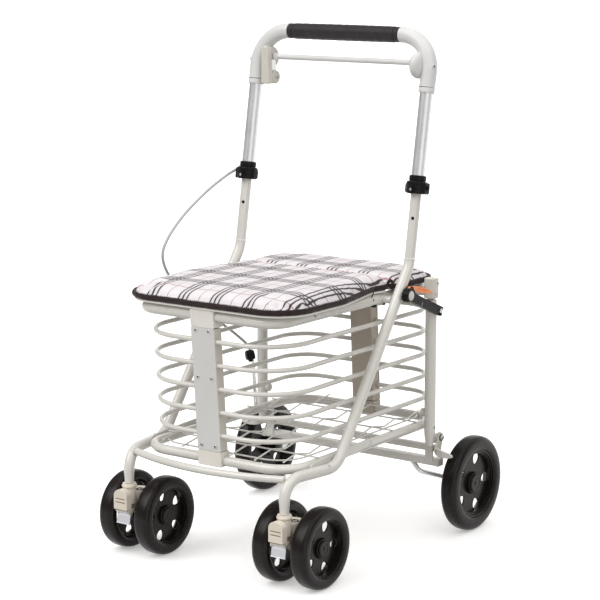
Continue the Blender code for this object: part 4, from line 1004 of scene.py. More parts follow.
# ================================================================ rear leg brackets
for hand, s in SIDES:
    x_in, x_out, wall = 0.1838, 0.2062, 0.0016
    y0, y1 = -0.0866, -0.0626
    ring = soft([(s * x_in, y0, 0.008), (s * x_out, y0, 0.008), (s * x_out, y1, 0.008), (s * x_in, y1, 0.008)], 0, 7, closed=True)
    bore = soft([(s * (x_in + wall), y0 + wall, 0.007), (s * (x_out - wall), y0 + wall, 0.007), (s * (x_out - wall), y1 - wall, 0.007), (s * (x_in + wall), y1 - wall, 0.007)], 0, 7, closed=True)
    shell = prism(ring, 0.4530, 0.4900, "Z", 0)
    shell = combined(shell, [prism(bore, 0.4400, 0.4880, "Z", 0)])
    shell = eased(shell, 0.0010, 3, 40)
    arm = block(s * (SEAT_HALF + TUBE_R + 0.0006), s * (x_in + 0.0006), -0.0850, -0.0650, 0.4570, 0.4700, 0.0015, 3)
    pin = tube([(s * (x_in + 0.0005), POST_Y, POST_PIN_Z), (s * (x_out - 0.0005), POST_Y, POST_PIN_Z)], 0.0040, 24)
    parts = [(shell, BEIGE), (arm, BEIGE), (pin, ZINC)]
    parts += screw((s * x_out, POST_Y + 0.0040, 0.4800), (s, 0.1, 0), 0.0030)
    parts += [(lathe(soft([(-0.0008, 0), (-0.0008, 0.0056), (0.0006, 0.0056), (0.0014, 0.0046), (0.0016, 0)], 0.0005), 28, (s * x_out, POST_Y, POST_PIN_Z), (s, 0, 0)), CAP_GREY)]
    piece(f"rear_bracket_{hand}_fine", parts, "frame", f"rear_bracket_{hand}")


# ================================================================ handle
for hand, s in SIDES:
    base = Vector((s * COLUMN_X, column_y(UPPER_TUBE_Z[0]), UPPER_TUBE_Z[0]))
    length = (UPPER_TUBE_Z[1] - UPPER_TUBE_Z[0]) / COLUMN_UP.z
    upper = lathe(soft([(0, UPPER_TUBE_BORE), (0, UPPER_TUBE_R), (length, UPPER_TUBE_R), (length, UPPER_TUBE_BORE)], 0.0003, closed=True), 56, base, COLUMN_UP, closed=True)
    piece(f"upper_tube_{hand}_fine", (upper, SILVER), "handle", f"upper_tube_{hand}")

    centre = Vector((s * COLUMN_X, column_y(COLLAR_Z), COLLAR_Z))
    ring = [
        (-0.0113, 0.0106, 0.0004),
        (-0.0113, 0.0180, 0.0012),
        (-0.0095, 0.0195, 0.0010),
        (-0.0040, 0.0195, 0.0),
        (-0.0036, 0.0190, 0.0),
        (-0.0028, 0.0190, 0.0),
        (-0.0024, 0.0195, 0.0),
        (0.0036, 0.0195, 0.0),
        (0.0040, 0.0190, 0.0),
        (0.0048, 0.0190, 0.0),
        (0.0052, 0.0195, 0.0),
        (0.0095, 0.0195, 0.0012),
        (0.0109, 0.0178, 0.0012),
        (0.0112, 0.0150, 0.0006),
        (0.0128, 0.0150, 0.0004),
        (0.0132, 0.0156, 0.0004),
        (0.0205, 0.0156, 0.0010),
        (0.0219, 0.0144, 0.0008),
        (0.0219, 0.0122, 0.0004),
        (0.0200, 0.0122, 0.0),
    ]
    collar = lathe(soft(ring, 0.0006, closed=True), 64, centre, COLUMN_UP, closed=True)
    side_up = COLUMN_UP
    side_y = side_up.cross(Vector((1, 0, 0))).normalized() * -1
    wing_rings = []
    for out, half_y, low, high in ((0.0120, 0.0100, -0.0110, 0.0098), (0.0200, 0.0095, -0.0110, 0.0096), (0.0222, 0.0080, -0.0100, 0.0086), (0.0228, 0.0068, -0.0090, 0.0076)):
        flat = soft([(-half_y, low, 0.002), (half_y, low, 0.002), (half_y, high, 0.002), (-half_y, high, 0.002)], 0, 4, closed=True)
        wing_rings.append([centre + Vector((s * out, 0, 0)) + side_y * a + side_up * b for a, b in flat])
    wing = lofted(wing_rings)
    wing = combined(wing, [tube([centre + Vector((s * 0.0150, 0, 0)), centre + Vector((s * 0.0300, 0, 0))], 0.0047, 32, edge=0)])
    inner = []
    for out, half_y, low, high in ((0.0120, 0.0080, -0.0100, 0.0070), (0.0200, 0.0072, -0.0096, 0.0066), (0.0212, 0.0060, -0.0086, 0.0056)):
        flat = soft([(-half_y, low, 0.002), (half_y, low, 0.002), (half_y, high, 0.002), (-half_y, high, 0.002)], 0, 4, closed=True)
        inner.append([centre + Vector((-s * out, 0, 0)) + side_y * a + side_up * b for a, b in flat])
    parts = [(collar, BLACK), (wing, BLACK), (lofted(inner), BLACK)]
    # clamp lug with its screw, in front of the ring
    lug = block(centre.x - 0.0045, centre.x + 0.0045, centre.y - 0.0225, centre.y - 0.0150, centre.z - 0.0085, centre.z + 0.0065, 0.0010, 3)
    parts += [(lug, BLACK)] + screw((centre.x, centre.y - 0.0224, centre.z - 0.0010), (0, -1, 0), 0.0024)
    piece(f"collar_{hand}_fine", parts, "handle", f"collar_{hand}")
    button = lathe(soft([(0.0163, 0), (0.0163, 0.0042), (0.0240, 0.0042), (0.0256, 0.0034), (0.0262, 0.0018), (0.0263, 0)], 0.0005), 36, centre, (s, 0, 0))
    piece(f"height_button_{hand}_fine", (button, BLACK), f"height_button_{hand}", f"height_button_{hand}")

    # elbow: a bent sleeve with a thin bead at its foot, and a step where the grip starts
    foot = Vector((s * COLUMN_X, column_y(SLEEVE_BOTTOM_Z), SLEEVE_BOTTOM_Z))
    top = Vector((s * 0.1945, HANDLE_Y, HANDLE_Z))
    bend = rounded([foot, top, (s * (GRIP_HALF + 0.0005), HANDLE_Y, HANDLE_Z)], [0, HANDLE_BEND, 0], step=3)
    bend = dense(bend, 0.006)
    shape = tube(bend, SLEEVE_R, 48, edge=0.0008)
    shape = combined(shape, [tube([foot - COLUMN_UP * 0.005, foot + COLUMN_UP * 0.0262], UPPER_TUBE_R + 0.0005, 48, edge=0)])
    parts = [(shape, HANDLE_WHITE)]
    parts.append((lathe(soft([(0.0030, 0.0142), (0.0032, 0.0150), (0.0046, 0.0150), (0.0048, 0.0142)], 0.0003), 56, foot, COLUMN_UP), HANDLE_WHITE))
    spot = Vector((s * 0.1936, column_y(0.8800), 0.8800))
    around = Vector((s * 0.92, -0.40, 0)).normalized()
    parts.append((lathe(soft([(0.0120, 0), (0.0120, 0.0036), (0.0149, 0.0036), (0.0149, 0.0028), (0.0138, 0.0028), (0.0138, 0)], 0.0002), 32, spot, around), HANDLE_WHITE))
    parts += screw(spot + around * 0.0137, around, 0.0024, turn=0.6)
    # a fine moulded line a little above the sleeve's rim, drawn as a thin dark ring: painted shade in the line's groove
    parts.append((lathe(soft([(0.0098, 0.0142), (0.0100, 0.01475), (0.0107, 0.01475), (0.0109, 0.0142)], 0.0002), 56, foot, COLUMN_UP), PAINTED_RECESS_SHADE))
    piece(f"elbow_{hand}_fine", parts, "handle", f"elbow_{hand}", angle=40)

piece("handle_tube_fine", (tube([(-0.1396, HANDLE_Y, HANDLE_Z), (0.1396, HANDLE_Y, HANDLE_Z)], 0.0106, 40), SILVER), "handle", "handle_tube")

grip = [(-GRIP_HALF, 0.0112), (-GRIP_HALF, 0.0136), (-GRIP_HALF + 0.0008, 0.0142), (-GRIP_HALF + 0.0092, 0.0142), (-GRIP_HALF + 0.0098, 0.0133), (-GRIP_HALF + 0.0108, 0.0133), (-GRIP_HALF + 0.0116, 0.0144), (-GRIP_HALF + 0.0140, 0.0148)]
count = 44
for k in range(1, count):
    x = -GRIP_HALF + 0.0140 + (2 * GRIP_HALF - 0.0280) * k / count
    grip.append((x, 0.0148 + 0.00016 * math.sin(k * 1.7) + 0.0003 * math.sin(math.pi * k / count)))
grip += [(-x, r) for x, r in reversed(grip[:8])]
piece("grip_fine", (lathe(grip, 64, (0, HANDLE_Y, HANDLE_Z), (1, 0, 0), closed=True), FOAM), "handle", "grip")


def elbow_clearance(s, spare=0.0004):
    foot = Vector((s * COLUMN_X, column_y(SLEEVE_BOTTOM_Z - 0.02), SLEEVE_BOTTOM_Z - 0.02))
    top = Vector((s * 0.1945, HANDLE_Y, HANDLE_Z))
    return tube(dense(rounded([foot, top, (s * GRIP_HALF, HANDLE_Y, HANDLE_Z)], [0, HANDLE_BEND, 0], step=5)), SLEEVE_R + spare, 40, edge=0)


# right-hand boss: a lens-shaped disc on the elbow's inner side
dome = [(0.1856, 0)]
for k in range(1, 10):
    t = k / 9 * math.pi / 2
    dome.append((0.1744 + 0.0112 * math.cos(t), 0.0242 * math.sin(t) ** 0.80))
for k in range(1, 11):
    t = k / 10 * math.pi / 2
    dome.append((0.1744 - 0.0122 * math.sin(t), 0.0242 * math.cos(t) ** 0.66 if k < 10 else 0.0))
boss = lathe(dome, 72, (0, -0.0940, 0.8810))
boss = combined(boss, [prism(capsule((-0.0760, 0.8845), 0.0078, (BAR_Y, BAR_Z), 0.0068), 0.1560, 0.1745, "X", 0), elbow_clearance(1)])
piece("brake_boss_right_fine", (boss, HANDLE_WHITE), "handle", "brake_boss_right", angle=40)

# left-hand housing: a tall rounded plate on the elbow, a disc behind it and a lower boss with the pivot screw
plate = soft([(-0.1712, 0.8340, 0.0040), (-0.1516, 0.8340, 0.0045), (-0.1524, 0.8620, 0.0120), (-0.1542, 0.8930, 0.0080), (-0.1590, 0.9052, 0.0065), (-0.1664, 0.9052, 0.0060), (-0.1706, 0.8960, 0.0080)], 0, 8, closed=True)
plate = prism(plate, -0.1095, -0.0958, "Y", 0.0026, 4)
disc = [(-0.1760, 0), (-0.1760, 0.0195), (-0.1748, 0.0205), (-0.1650, 0.0205), (-0.1632, 0.0200), (-0.1617, 0.0184), (-0.1612, 0.0150), (-0.1611, 0)]
disc = lathe(soft(disc, 0.0010), 72, (0, -0.0815, 0.8830))
low_boss = lathe(soft([(-0.1776, 0), (-0.1776, 0.0124), (-0.1540, 0.0128), (-0.1518, 0.0116), (-0.1516, 0.0092), (-0.1524, 0.0088), (-0.1526, 0.0064), (-0.1520, 0.0060), (-0.1520, 0)], 0.0006), 64, (0, BAR_PIVOT[0], BAR_PIVOT[1]))
slot_cut = [block(-0.1608, -0.1552, -0.0950, -0.0500, 0.8320, 0.9200, 0)]
parts = [
    (combined(plate, [elbow_clearance(-1)]), BEIGE),
    (combined(disc, [*slot_cut, elbow_clearance(-1)]), BEIGE),
    (combined(low_boss, [*slot_cut, elbow_clearance(-1)]), BEIGE),
]
small = screw((-0.1519, BAR_PIVOT[0], BAR_PIVOT[1]), (1, 0, 0), 0.0034, turn=0.5)
parts += [(small[0][0], CAP_GREY), *small[1:]]
parts.append((tube([(-0.1640, *BAR_PIVOT), (-0.1530, *BAR_PIVOT)], 0.0030, 24), ZINC))
piece("brake_housing_left_fine", parts, "handle", "brake_housing_left", angle=40)

bar = tube([(-0.1578, BAR_Y, BAR_Z), (0.1718, BAR_Y, BAR_Z)], 0.0052, 32, edge=0.0010)
arm = prism(capsule((BAR_PIVOT[0], BAR_PIVOT[1]), 0.0075, (BAR_Y, BAR_Z), 0.0060, 14), -0.1596, -0.1566, "X", 0.0005)
arm = combined(arm, [tube([(-0.1700, *BAR_PIVOT), (-0.1500, *BAR_PIVOT)], 0.0034, 24, edge=0)])
cap = block(-0.1550, -0.1452, BAR_Y - 0.0060, BAR_Y + 0.0060, BAR_Z - 0.0060, BAR_Z + 0.0060, 0.0016, 3)
piece("brake_bar_fine", [(bar, HANDLE_WHITE), (arm, ZINC), (cap, HANDLE_WHITE)], "brake_bar", "brake_bar")


# ================================================================ seat
def mirrored_outline(right, radii, step=4.0):
    corners = [(x, y, 0) for x, y in right] + [(-x, y, 0) for x, y in reversed(right)]
    path = rounded(corners, radii + radii[::-1], closed=True, step=step)
    return [(p.x, p.y) for p in path]


def pad_outline(inset, step=4.0):
    right = [(0.1700, -0.1750), (0.1615, -0.2180), (0.1885, -0.3420), (0.1885, -0.5180)]
    right = [(x - inset, y + inset * (1 if y < -0.4 else -1 if y > -0.2 else 0)) for x, y in right]
    return mirrored_outline(right, [0.010, 0.032, 0.070, 0.070], step)


def flap_outline(inset, step=4.0):
    right = [(0.1790 - inset, -0.0200 - inset), (0.1790 - inset, -0.1700 + inset)]
    return mirrored_outline(right, [0.045, 0.016], step)


def resampled(outline, spacing):
    """A closed outline as evenly spaced points."""
    pts = np.array(outline, float)
    nxt = np.roll(pts, -1, axis=0)
    steps = np.hypot(*(nxt - pts).T)
    total = steps.sum()
    count = int(round(total / spacing))
    marks = np.concatenate([[0.0], np.cumsum(steps)])
    where = np.arange(count) * total / count
    xs = np.interp(where, marks, np.append(pts[:, 0], pts[0, 0]))
    ys = np.interp(where, marks, np.append(pts[:, 1], pts[0, 1]))
    return list(zip(xs, ys)), total


def edge_distance(points, outline):
    """How far flat points lie inside an outline, and how far round it their nearest point is."""
    a = np.array(outline, float)
    b = np.roll(a, -1, axis=0)
    lengths = np.hypot(*(b - a).T)
    starts = np.concatenate([[0.0], np.cumsum(lengths)[:-1]])
    best = np.full(len(points), 1e9)
    along = np.zeros(len(points))
    for p, q, length, start in zip(a, b, lengths, starts):
        d = q - p
        t = np.clip(((points - p) @ d) / max(length**2, 1e-12), 0, 1)
        gap = np.hypot(*(points - (p + t[:, None] * d)).T)
        near = gap < best
        best[near] = gap[near]
        along[near] = start + t[near] * length
    return best, along, lengths.sum()


def pad_shell(name, outline_at, z_low, z_edge, z_crown, roll, grow, bound, ridge_y):
    """A padded cover: flat below, rolled at its edges, then blown out a little by the cloth solver."""
    outline = outline_at(0.0)
    flat_rows = []
    for inset, height in ((0.0035, 0.0), (0.0012, 0.30), (0.0012, 0.62), (0.0040, 0.86), (0.0085, 0.97), (0.0150, 1.0)):
        ring, _ = resampled(outline_at(inset, 6.0), 0.006)
        flat_rows.append((ring, z_low + (z_edge - z_low) * height))
    base = bpy.data.meshes.new(name)
    bm = bmesh.new()
    count = len(flat_rows[0][0])
    loops = []
    for ring, z in flat_rows:
        # the same number of points in each row
        pts = np.array(ring)
        where = np.linspace(0, len(pts), count, endpoint=False)
        pts = np.vstack([pts, pts[:1]])
        xs = np.interp(where, np.arange(len(pts)), pts[:, 0])
        ys = np.interp(where, np.arange(len(pts)), pts[:, 1])
        loops.append([bm.verts.new((x, y, z)) for x, y in zip(xs, ys)])
    for one, two in zip(loops, loops[1:]):
        for k in range(count):
            m = (k + 1) % count
            bm.faces.new((one[k], one[m], two[m], two[k]))
    bm.faces.new(list(reversed(loops[0])))
    bm.faces.new(loops[-1])
    bmesh.ops.recalc_face_normals(bm, faces=bm.faces)
    bm.to_mesh(base)
    bm.free()
    obj = bpy.data.objects.new(name, base)
    bpy.context.scene.collection.objects.link(obj)
    mod = obj.modifiers.new("remesh", "REMESH")
    mod.mode = "VOXEL"
    mod.voxel_size = 0.0048
    bpy.context.view_layer.update()
    mesh = bpy.data.meshes.new_from_object(obj.evaluated_get(bpy.context.evaluated_depsgraph_get()))
    obj.modifiers.clear()
    obj.data = mesh
    co = np.zeros(len(mesh.vertices) * 3)
    mesh.vertices.foreach_get("co", co)
    co = co.reshape(-1, 3)
    start = co.copy()
    inside, along, total = edge_distance(co[:, :2], outline)
    held = obj.vertex_groups.new(name="held")
    for i, (p, d) in enumerate(zip(co, inside)):
        if p[2] < z_low + (z_edge - z_low) * 0.5:
            held.add([i], 1.0, "REPLACE")
    cloth = obj.modifiers.new("cloth", "CLOTH")
    cloth.settings.quality = 6
    cloth.settings.mass = 0.25
    cloth.settings.tension_stiffness = 14.0
    cloth.settings.compression_stiffness = 14.0
    cloth.settings.shear_stiffness = 6.0
    cloth.settings.bending_stiffness = 0.6
    cloth.settings.use_pressure = True
    cloth.settings.uniform_pressure_force = 4.0
    cloth.settings.vertex_group_mass = "held"
    cloth.settings.effector_weights.gravity = 0.0
    cloth.collision_settings.use_collision = False
    cloth.collision_settings.use_self_collision = False
    scene = bpy.context.scene
    for step in range(1, 21):
        scene.frame_set(step)
    evaluated = obj.evaluated_get(bpy.context.evaluated_depsgraph_get())
    swollen = np.zeros(len(mesh.vertices) * 3)
    evaluated.to_mesh().vertices.foreach_get("co", swollen)
    evaluated.to_mesh_clear()
    obj.modifiers.remove(cloth)
    scene.frame_set(1)
    shift = swollen.reshape(-1, 3) - start
    size = np.linalg.norm(shift, axis=1, keepdims=True)
    co = start + shift * np.minimum(1.0, grow / np.maximum(size, 1e-9))
    top = co[:, 2] > z_low + (z_edge - z_low) * 0.75
    # the filling stays high along the hinge side, where there is no binding to pull it down
    drawn = np.array([bound(x, y) for x, y in outline])
    lengths = np.hypot(*(np.roll(np.array(outline), -1, axis=0) - np.array(outline)).T)
    starts = np.concatenate([[0.0], np.cumsum(lengths)[:-1]])
    tied = np.array(outline)[drawn]
    to_seam = np.array([np.min(np.hypot(tied[:, 0] - x, tied[:, 1] - y)) for x, y in co[:, :2]])
    near_hinge = ~drawn[np.clip(np.searchsorted(starts, along, side="right") - 1, 0, len(outline) - 1)]
    inside = np.where(near_hinge, np.minimum(to_seam, inside + roll * 0.62), inside)
    # crown: thick in the middle, thinner towards the binding, with soft hollows and gathers at the seam
    rise = np.clip(inside / roll, 0, 1)
    rise = 1 - (1 - rise) ** 2.6
    for i in np.nonzero(top)[0]:
        x, y = start[i, 0], start[i, 1]
        soft_hill = noise.noise(Vector((x * 13.0, y * 13.0, 3.1))) * 0.0016 + noise.noise(Vector((x * 31.0, y * 31.0, 7.7))) * 0.0007
        a = along[i] / total
        ring = Vector((math.cos(2 * math.pi * a), math.sin(2 * math.pi * a), 0)) * (total / 0.0135 / 2.2)
        gather = noise.noise(ring) * math.exp(-inside[i] / 0.011) * 0.0022
        ridge = 0.0034 * math.exp(-(((y - ridge_y) / 0.075) ** 2))
        co[i, 2] += (z_crown - z_edge + ridge) * rise[i] * 0.9 + soft_hill * rise[i] + gather
    co[:, 2] = np.minimum(co[:, 2], z_crown + 0.0046)
    mesh.vertices.foreach_set("co", co.reshape(-1))
    mesh.update()
    done = smoothed(mesh, 1)
    bpy.data.objects.remove(obj, do_unlink=True)
    return done


def seam_strip(outline_at, inset, z, width, height, name_seed, keep):
    """Bias tape along the kept part of a pad's edge: a folded band with soft puckers, following the outline."""
    ring, total = resampled(outline_at(inset, 3.0), 0.0034)
    pts = np.array(ring)
    nxt, prv = np.roll(pts, -1, axis=0), np.roll(pts, 1, axis=0)
    tangent = nxt - prv
    tangent /= np.linalg.norm(tangent, axis=1, keepdims=True)
    area = 0.5 * np.sum(pts[:, 0] * nxt[:, 1] - nxt[:, 0] * pts[:, 1])
    outward = np.stack([tangent[:, 1], -tangent[:, 0]], axis=1) * (1 if area > 0 else -1)
    section = soft([(-width * 0.9, -0.0002, 0.0004), (-width * 0.25, -height * 0.42, 0.0012), (0.0, -height * 0.50, 0.0012), (width * 0.46, -height * 0.30, 0.0016), (width * 0.50, height * 0.10, 0.0016), (width * 0.20, height * 0.46, 0.0016), (-width * 0.35, height * 0.50, 0.0014), (-width * 0.95, height * 0.40, 0.0006)], 0, 3, closed=True)
    verts, faces = [], []
    count, sides = len(pts), len(section)
    for i in range(count):
        a = 2 * math.pi * i / count
        ringed = Vector((math.cos(a), math.sin(a), name_seed)) * (total / 0.010 / 6.0)
        swell = 1.0 + 0.10 * noise.noise(ringed)
        drift = 0.0006 * noise.noise(Vector((math.cos(a) * 9.0, math.sin(a) * 9.0, name_seed + 4.0)))
        for o, h in section:
            verts.append((pts[i, 0] + outward[i, 0] * o * swell, pts[i, 1] + outward[i, 1] * o * swell, z + h * swell + drift))
    held = [keep(x, y) for x, y in pts]
    for i in range(count):
        j = (i + 1) % count
        if held[i] and held[j]:
            for k in range(sides):
                m = (k + 1) % sides
                faces.append((i * sides + k, i * sides + m, j * sides + m, j * sides + k))
        elif held[i] or held[j]:
            end = i if held[i] else j
            faces.append(tuple(end * sides + k for k in range(sides)))
    mesh = mesh_from(verts, faces)
    bm = bmesh.new()
    bm.from_mesh(mesh)
    bmesh.ops.delete(bm, geom=[v for v in bm.verts if not v.link_faces], context="VERTS")
    bm.to_mesh(mesh)
    bm.free()
    return mesh


def stitches(outline_at, inset, z, keep, pitch=0.0042, length=0.0026, radius=0.00042):
    """A row of small thread lengths along the kept part of a pad's edge, laid on the tape."""
    ring, _ = resampled(outline_at(inset, 3.0), pitch)
    pts = np.array(ring)
    nxt = np.roll(pts, -1, axis=0)
    verts, faces = [], []
    for p, q in zip(pts, nxt):
        if not keep(*p):
            continue
        d = (q - p) / max(np.hypot(*(q - p)), 1e-9)
        n = np.array([-d[1], d[0]])
        base = len(verts)
        for t, r in ((0.0, 0.4), (0.25, 1.0), (0.75, 1.0), (1.0, 0.4)):
            c = p + d * length * t
            for a in range(5):
                w = 2 * math.pi * a / 5
                verts.append((c[0] + n[0] * radius * r * math.cos(w), c[1] + n[1] * radius * r * math.cos(w), z + radius * r * math.sin(w)))
        for i in range(3):
            for a in range(5):
                b = (a + 1) % 5
                faces.append((base + i * 5 + a, base + i * 5 + b, base + (i + 1) * 5 + b, base + (i + 1) * 5 + a))
        faces.append(tuple(base + a for a in range(5)))
        faces.append(tuple(base + 15 + a for a in range(5)))
    return mesh_from(verts, faces)


lid_board = prism(pad_outline(0.0026, 4.0), *BOARD_Z, edge=0.0008)
piece("seat_board_fine", (lid_board, BOARD), "seat_lid", "seat_board")

def lid_bound(x, y):
    return not (y > -0.1860 and abs(x) < 0.1560)


def flap_bound(x, y):
    return not (y < -0.1650 and abs(x) < 0.1640)


lid = pad_shell("lid_pad", pad_outline, PAD_Z[0], 0.4962, 0.5048, 0.030, 0.005, lid_bound, -0.250)
lid_piece = piece("seat_pad_cover", (lid, CLOTH), "seat_lid", "seat_pad", angle=70, weighted=False)

tape = seam_strip(pad_outline, 0.0010, 0.4858, 0.0052, 0.0098, 1.0, lid_bound)
thread = stitches(pad_outline, 0.0052, 0.4909, lid_bound)
parts = [(tape, TAPE), (thread, TAPE)]
for s in (-1, 1):
    # the tape ends in a small loop at the lid's rear corner, with a short tie cord below it
    ear = []
    for k in range(24):
        t = 2 * math.pi * k / 24
        ear.append((s * (0.1694 + 0.0016 * math.cos(t)), -0.1750 + 0.0050 * math.cos(t), 0.4915 + 0.0046 * math.sin(t)))
    parts.append((tube(ear, 0.0024, 12, closed=True, oval=(0.7, 1.3)), TAPE))
    cord = [(s * 0.1590, -0.2150, 0.4850), (s * 0.1602, -0.2160, 0.4800), (s * 0.1604, -0.2190, 0.4740), (s * 0.1598, -0.2230, 0.4700)]
    parts.append((tube(smooth_route(cord, 0.0016), 0.0009, 10), TAPE))
tape_piece = piece("seat_pad_binding", parts, "seat_lid", angle=60, weighted=False)

flap = pad_shell("flap_pad", flap_outline, BOARD_Z[0], 0.4940, 0.4990, 0.034, 0.005, flap_bound, -0.110)
flap_piece = piece("rear_flap_cover", (flap, CLOTH), "frame", "rear_flap_pad", angle=70, weighted=False)
tape = seam_strip(flap_outline, 0.0010, 0.4850, 0.0050, 0.0098, 5.0, flap_bound)
thread = stitches(flap_outline, 0.0052, 0.4901, flap_bound)
piece("rear_flap_binding", [(tape, TAPE), (thread, TAPE)], "frame", angle=60, weighted=False)


# ================================================================ rear legs
lever_d, lever_n = Vector((0, *LEVER_DIR)), Vector((0, -LEVER_DIR[1], LEVER_DIR[0]))
lever_o = Vector((0, *LEVER_PIVOT))
stud = lever_o + lever_d * STUD_REACH

for hand, s in SIDES:
    heights = [POST_BOTTOM_Z, 0.1760, 0.1830, 0.1900, 0.1950, 0.2000, 0.30, 0.40, 0.4470, 0.4486, 0.4492]
    widths = [0.66, 0.70, 0.82, 0.94, 0.985, 1.0, 1.0, 1.0, 1.0, 0.93, 0.80]
    post = tube([(s * POST_X, POST_Y, z) for z in heights], [POST_R * w for w in widths], 40, edge=0)
    parts = [(post, IVORY)]
    # a flat tongue carries the top pin inside the bracket
    tongue = block(s * (POST_X - 0.0075), s * (POST_X + 0.0075), POST_Y - 0.0042, POST_Y + 0.0042, 0.4480, POST_TOP_Z, 0.0012, 3)
    parts.append((combined(tongue, [tube([(s * 0.17, POST_Y, POST_PIN_Z), (s * 0.22, POST_Y, POST_PIN_Z)], 0.0042, 24, edge=0)]), IVORY))
    parts.append((tube([(s * (POST_X + 0.006), stud.y, stud.z), (s * 0.2190, stud.y, stud.z)], 0.0026, 24), CHROME))
    parts.append((lathe(soft([(0.0, 0), (0.0, 0.0046), (0.0016, 0.0046), (0.0022, 0.0036), (0.0022, 0)], 0.0004), 28, (s * 0.2184, stud.y, stud.z), (s, 0, 0)), CHROME))
    parts += screw((s * (POST_X + 0.0098), POST_Y - 0.0010, 0.2080), (s, -0.1, 0), 0.0030)
    # round knob on the inner side
    parts.append((lathe(soft([(0.0085, 0), (0.0085, 0.0048), (0.0115, 0.0048), (0.0122, 0.0070), (0.0170, 0.0082), (0.0188, 0.0066), (0.0194, 0)], 0.0007), 36, (s * POST_X, POST_Y, 0.2335), (-s, 0, 0)), BEIGE))
    piece(f"post_{hand}_fine", parts, "rear_legs", f"post_{hand}")

BEAM_HALF = 0.2055
beam = block(-BEAM_HALF, BEAM_HALF, -0.0615, -0.0445, 0.1290, 0.1430, 0)
beam = combined(beam, [block(-BEAM_HALF + 0.002, BEAM_HALF - 0.002, -0.0599, -0.0461, 0.1200, 0.1414, 0)])
beam = eased(beam, 0.0009, 2, 40)
parts = [(beam, IVORY)]
axle_route = rounded(
    [
        (-0.2480, 0, REAR_WHEEL_R),
        (-0.2120, 0, REAR_WHEEL_R),
        (-0.1600, -0.0530, 0.1120),
        (-0.1380, -0.0530, 0.1358),
        (0.1380, -0.0530, 0.1358),
        (0.1600, -0.0530, 0.1120),
        (0.2120, 0, REAR_WHEEL_R),
        (0.2480, 0, REAR_WHEEL_R),
    ],
    [0, 0.020, 0.014, 0.012, 0.012, 0.014, 0.020, 0],
    step=5,
)
for hand, s in SIDES:
    stay = prism(soft([(s * 0.1780, 0.1320, 0.001), (s * 0.1945, 0.1320, 0.001), (s * 0.1945, 0.1735, 0.002), (s * 0.2035, 0.1745, 0.002), (s * 0.2035, 0.1900, 0.005), (s * 0.1780, 0.1950, 0.006)], 0, 4, closed=True), -0.0637, -0.0603, "Y", 0.0006)
    cheek = block(s * 0.2003, s * 0.2034, -0.0630, -0.0470, 0.1740, 0.1940, 0.0008)
    pin = lathe(soft([(0.2010, 0), (0.2010, 0.0030), (0.2090, 0.0030), (0.2090, 0.0055), (0.2112, 0.0052), (0.2118, 0.0030), (0.2118, 0)], 0.0004), 32, (0, *BRAKE_PIVOT), (s, 0, 0))
    parts += [(stay, IVORY), (cheek, IVORY), (pin, ZINC)]
    parts += screw((s * 0.1862, -0.0634, 0.1840), (0, -1, 0), 0.0026)
    # end block closing the beam
    parts.append((block(s * 0.1985, s * 0.2066, -0.0622, -0.0438, 0.1284, 0.1436, 0.0010), BEIGE))
piece("axle_beam_fine", parts, "rear_legs", "axle_beam")

parts = [(tube(axle_route, 0.0046, 28), ZINC)]
for hand, s in SIDES:
    parts.append((lathe(soft([(0.2150, 0.0047), (0.2150, 0.0078), (0.2240, 0.0078), (0.2250, 0.0066), (0.2250, 0.0047)], 0.0005, closed=True), 32, (0, 0, REAR_WHEEL_R), (s, 0, 0), closed=True), BLACK))
piece("rear_axle_fine", parts, "rear_legs", "rear_axle")


def crossed(stations):
    around = soft([(-1, -1, 0.35), (1, -1, 0.35), (1, 1, 0.35), (-1, 1, 0.35)], 0, 3, closed=True)
    return lofted([[(x, y + a * half_y, z + b * half_z) for a, b in around] for x, y, z, half_y, half_z in stations])


tip = [
    (0.1958, -0.0510, 0.1612, 0.0055, 0.0062),
    (0.2010, -0.0560, 0.1609, 0.0050, 0.0064),
    (0.2078, -0.0690, 0.1602, 0.0040, 0.0068),
    (0.2150, -0.0742, 0.1592, 0.0028, 0.0072),
    (0.2245, -0.0757, 0.1584, 0.0024, 0.0068),
    (0.2350, -0.0757, 0.1578, 0.0022, 0.0054),
    (0.2420, -0.0757, 0.1574, 0.0020, 0.0036),
    (0.2460, -0.0757, 0.1572, 0.0014, 0.0016),
]
parts = [(crossed([(-x, *rest) for x, *rest in reversed(tip)] + tip), IVORY)]
for hand, s in SIDES:
    ear = prism(capsule(BRAKE_PIVOT, 0.0078, (-0.0640, 0.1632), 0.0108, 14), *sorted((s * 0.2048, s * 0.2076)), "X", 0.0006)
    ear = combined(ear, [tube([(s * 0.2040, *BRAKE_PIVOT), (s * 0.2086, *BRAKE_PIVOT)], 0.0036, 24, edge=0)])
    parts.append((ear, BEIGE))
    # a thin dark ring round the pivot: painted shade in the gap round the pin
    parts.append((lathe(soft([(0.2076, 0.0040), (0.2076, 0.0072), (0.2083, 0.0072), (0.2086, 0.0060), (0.2086, 0.0040)], 0.0003, closed=True), 32, (0, *BRAKE_PIVOT), (s, 0, 0), closed=True), PAINTED_RECESS_SHADE))
piece("brake_crossbar_fine", parts, "rear_brake", "brake_crossbar")

